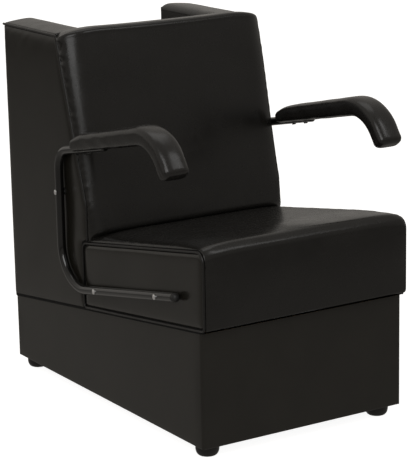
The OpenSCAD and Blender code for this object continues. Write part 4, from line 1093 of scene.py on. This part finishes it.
def make_arms():
    """Bent tube arms, each with a padded rest that turns down at the front."""
    tube_path = [(TUBE_FRONT_Y, tube_low(TUBE_FRONT_Y)), (UPRIGHT_Y, tube_low(UPRIGHT_Y)),
                 (UPRIGHT_Y, tube_high(UPRIGHT_Y)), (TUBE_REAR_Y, tube_high(TUBE_REAR_Y))]
    for side in SIDES:
        word = SIDE_NAME[side]
        path = rounded_path([(side * ARM_X, y, z) for y, z in tube_path], TUBE_BENDS, TUBE_STEP)
        arm = tube("arm_rail_" + word, path, TUBE_R, TUBE_SIDES, "tube_paint")
        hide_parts("arm_tube_" + word)
        rings, along = pad_rings()
        n = normals(rings)
        outward = rings - rings.mean(axis=1, keepdims=True)
        if (n * outward).sum() < 0:
            n = -n
        a = along[:, None]
        round_at = np.arange(PAD_SIDES)[None, :] / PAD_SIDES
        drawn = ripple(a * 4 + np.sin(2 * math.pi * round_at) * 0.5, 41 + side, 6, 0.6, 2.2)
        inside = np.clip(np.minimum(a, 1 - a) * 12, 0, 1)
        gathers = np.sin(2 * math.pi * (round_at * GATHERS + 0.4 * np.sin(2 * math.pi * round_at * 3)))
        near_end = np.exp(-((np.minimum(a, 1 - a) * PAD_LENGTH - GATHER_AT) / GATHER_REACH) ** 2)
        under = np.where(np.sin(2 * math.pi * round_at) < 0.3, 1.0, 0.35)
        lift = PAD_DRAWN * drawn * inside + GATHER_H * gathers * near_end * under
        rings = rings + n * lift[..., None]
        rings[..., 0] = side * (rings[..., 0] + ARM_X)
        faces = ring_faces(*rings.shape[:2])
        pad = facing_out(piece("arm_rest_" + word, rings.reshape(-1, 3), faces, "pad_vinyl"))
        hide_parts("arm_pad_" + word)


# The tops of the wings and the rear

WING_SWELL = 10.0
NOTCH_Z = WING_TOP - 255.0
TOP_POINTS = 24
WALL_POINTS = 14
TOP_T = 5.0
TOP_EDGE_FALL = 5.0
WALL_T = 1.6
REAR_SOFT = 5.0


def make_wing_tops():
    """Padded tops that run from the back cushion to the rear and down the compartment's walls."""
    s = np.linspace(0, 1, TOP_POINTS)
    swell = WING_SWELL * s ** 0.7 * (1 - s ** 6) - TOP_EDGE_FALL * s ** 10
    top = np.stack([SIDE_X - 0.3 - (SIDE_X - WING_IN_X) * s, WING_TOP + swell], 1)
    wall_x = WING_IN_X + 0.4 + 0.6 * np.sin(np.linspace(0, 9, WALL_POINTS))
    wall = np.stack([wall_x, np.linspace(WING_TOP - 8, NOTCH_Z + 1, WALL_POINTS)], 1)
    section = np.concatenate([top, wall])
    rows_y = np.linspace(BACK_END_Y - 30, REAR_Y - 3.4, 40)
    for side in SIDES:
        outer = np.array([[(x, y, z) for x, z in section] for y in rows_y])
        y = outer[:, :TOP_POINTS, 1]
        outer[:, :TOP_POINTS, 2] += ripple(y / 300, 51 + side, 4, 0.5, 1.6) * 0.8
        inner = outer.copy()
        inner[:, :TOP_POINTS, 2] = np.minimum(inner[:, :TOP_POINTS, 2], WING_TOP) - TOP_T
        inner[:, TOP_POINTS:, 0] += WALL_T
        inner[:, TOP_POINTS:, 2] = np.minimum(inner[:, TOP_POINTS:, 2], WING_TOP - TOP_T - 0.4)
        points = np.concatenate([outer, inner]).reshape(-1, 3) * np.array([side, 1, 1])
        faces = shell_faces(*outer.shape[:2])
        pad = facing_out(piece("wing_top_pad_" + SIDE_NAME[side], points, faces, "vinyl"))
        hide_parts("wing_top_cover_" + SIDE_NAME[side])


def soft_steps(start, stop, count):
    """Places from start to stop, closer together where the rear's soft edges are."""
    soft = REAR_SOFT * np.array([0, 0.12, 0.3, 0.6, 1.0])
    flat = np.linspace(start + REAR_SOFT, stop - REAR_SOFT, count)[1:-1]
    return np.concatenate([start + soft, flat, stop - soft[::-1]])


def make_rear():
    """The rear's vinyl: drawn flat over the panel, soft at its edges and round the notch."""
    half = SIDE_X - 0.3
    low, top = deck_z(REAR_Y) + REAR_GAP, WING_TOP - 0.4
    notch_x, notch_z = WING_IN_X + 0.3, NOTCH_Z - 0.3
    arm = soft_steps(0, half - notch_x, 9)
    xs = np.concatenate([-half + arm, soft_steps(-notch_x, notch_x, 27), half - arm])
    zs = np.concatenate([soft_steps(low, notch_z, 34), soft_steps(notch_z, top, 20)])
    xs, zs = np.unique(np.round(xs, 4)), np.unique(np.round(zs, 4))
    x, z = np.meshgrid(xs, zs, indexing="ij")
    to_notch = np.hypot(np.maximum(np.abs(x) - notch_x, 0), np.maximum(notch_z - z, 0))
    edge = np.minimum(np.minimum(half - np.abs(x), to_notch), np.minimum(z - low, top - z))
    full = np.sqrt(np.clip(1 - (1 - np.clip(edge / REAR_SOFT, 0, 1)) ** 2, 0, 1))
    waves = ripple(x / 300 + z / 380, 71, 5, 0.5, 1.5) * (1 - np.exp(-np.maximum(edge, 0) / 50))
    y = REAR_Y - REAR_T + REAR_T * full + 0.5 * waves
    nu, nv = x.shape
    outer = np.stack([x, y, z], 2).reshape(-1, 3)
    inner = outer.copy()
    inner[:, 1] = REAR_Y - REAR_T - 0.05
    count = nu * nv
    uses = {}
    faces = []
    for a, b, c, d in grid_faces(nu, nv):
        middle_x, middle_z = (outer[a] + outer[c])[[0, 2]] / 2
        if abs(middle_x) < notch_x and middle_z > notch_z:
            continue
        faces += [[a, b, c, d], [a + count, d + count, c + count, b + count]]
        for edge in ((a, b), (b, c), (c, d), (d, a)):
            key = (min(edge), max(edge))
            uses[key] = uses.get(key, 0) + 1
    for (a, b), times in uses.items():
        if times == 1:
            faces.append([a, b, b + count, a + count])
    rear = facing_out(piece("rear_vinyl", np.concatenate([outer, inner]), faces, "panel"))
    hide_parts("rear_cover")


# The base

BASE_TURN_IN = 2.5
BASE_WAVE = 0.5
CORNER_STEPS = 8
WALL_STEPS = 30


def base_ring():
    """Places round the base, each with the way out from it: four round corners and, between them,
    flat walls."""
    r = BASE_CORNER_R
    corners = []
    for x, y, start in ((1, 0, -90), (1, 1, 0), (-1, 1, 90), (-1, 0, 180)):
        middle = (x * (BASE_X - r), BASE_D - r if y else r)
        for k in range(CORNER_STEPS + 1):
            angle = math.radians(start + 90 * k / CORNER_STEPS)
            out = (math.cos(angle), math.sin(angle))
            corners.append((middle, out, middle[0] + r * out[0], middle[1] + r * out[1]))
    ring = []
    for (middle, out, x, y), (next_middle, _, next_x, next_y) in zip(corners, corners[1:] + corners[:1]):
        steps = 1 if middle == next_middle else WALL_STEPS
        for k in range(steps):
            f = k / steps
            ring.append((x + f * (next_x - x), y + f * (next_y - y), *out))
    return ring


def make_base():
    """The base's vinyl: drawn round the box with soft corners, and turned in at both edges."""
    t = BASE_TURN_IN
    edge = np.linspace(0, math.pi / 2, 6)
    ring = base_ring()
    sections = []
    for k, (x, y, u, v) in enumerate(ring):
        top = deck_z(y) - 0.2
        corner = abs(u * v)
        soft = t * (1 - 1.8 * corner)
        low = [(soft * (1 - math.sin(a)), t * (1 - math.cos(a))) for a in edge]
        middle = [(0, t + (top - 2 * t) * f) for f in np.linspace(0, 1, 16)[1:-1]]
        high = [(t * (1 - math.cos(a)), top - t * (1 - math.sin(a))) for a in edge]
        swing = BASE_WAVE * float(ripple(k / 45, 61, 4, 0.5, 1.5)) * (1 - 2 * corner)
        section = []
        for inset, z in low + middle + high:
            wave = swing * math.sin(math.pi * min(1, max(0, z / top))) if inset == 0 else 0
            section.append((x - u * (inset - wave), y - v * (inset - wave), z))
        section += [(x - u * t, y - v * t, top - 0.5), (x - u * t, y - v * t, 0.5)]
        sections.append(section)
    grid = np.array(sections)
    faces = grid_faces(len(ring), grid.shape[1], wrap_u=True, wrap_v=True)
    base = facing_out(piece("base_vinyl", grid.reshape(-1, 3), faces, "panel"))
    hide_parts("base_cover")


# Shares of a foot's radius and height
FOOT_FLAT = 0.62
FOOT_ROUND = 0.6
FOOT_SIDES = 48


def make_feet():
    """Round glides with a soft lower edge."""
    t = np.linspace(0, math.pi / 2, 10)
    out = np.concatenate([FOOT_FLAT + (1 - FOOT_FLAT) * np.sin(t), [0.99, 0.96]])[:, None]
    up = np.concatenate([FOOT_ROUND * (1 - np.cos(t)), [0.85, 1]])[:, None]
    turn = 2 * math.pi * np.arange(FOOT_SIDES) / FOOT_SIDES
    for end in ("front", "rear"):
        for side in SIDES:
            word = end + "_" + SIDE_NAME[side]
            node = "foot_" + word
            low, high = (np.array([in_mm(node, corner, axis) for axis in range(3)]) for corner in (0, 1))
            middle = (low + high) / 2
            r = (high[0] - low[0]) / 2
            x = middle[0] + r * out * np.cos(turn)
            y = middle[1] + r * out * np.sin(turn)
            z = np.broadcast_to(low[2] + (high[2] - low[2]) * up, x.shape)
            rings = np.stack([x, y, z], 2)
            faces = ring_faces(*rings.shape[:2])
            foot = facing_out(piece("glide_" + word, rings.reshape(-1, 3), faces, "foot_plastic"))
            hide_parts(node)


finish_nodes()
make_seat()
make_back()
make_side_panels()
make_seam_shade()
make_piping()
make_arms()
make_wing_tops()
make_rear()
make_base()
make_feet()
make_camera()
make_world()
make_floor()
make_lights()
bpy.context.scene.view_settings.view_transform = "Standard"
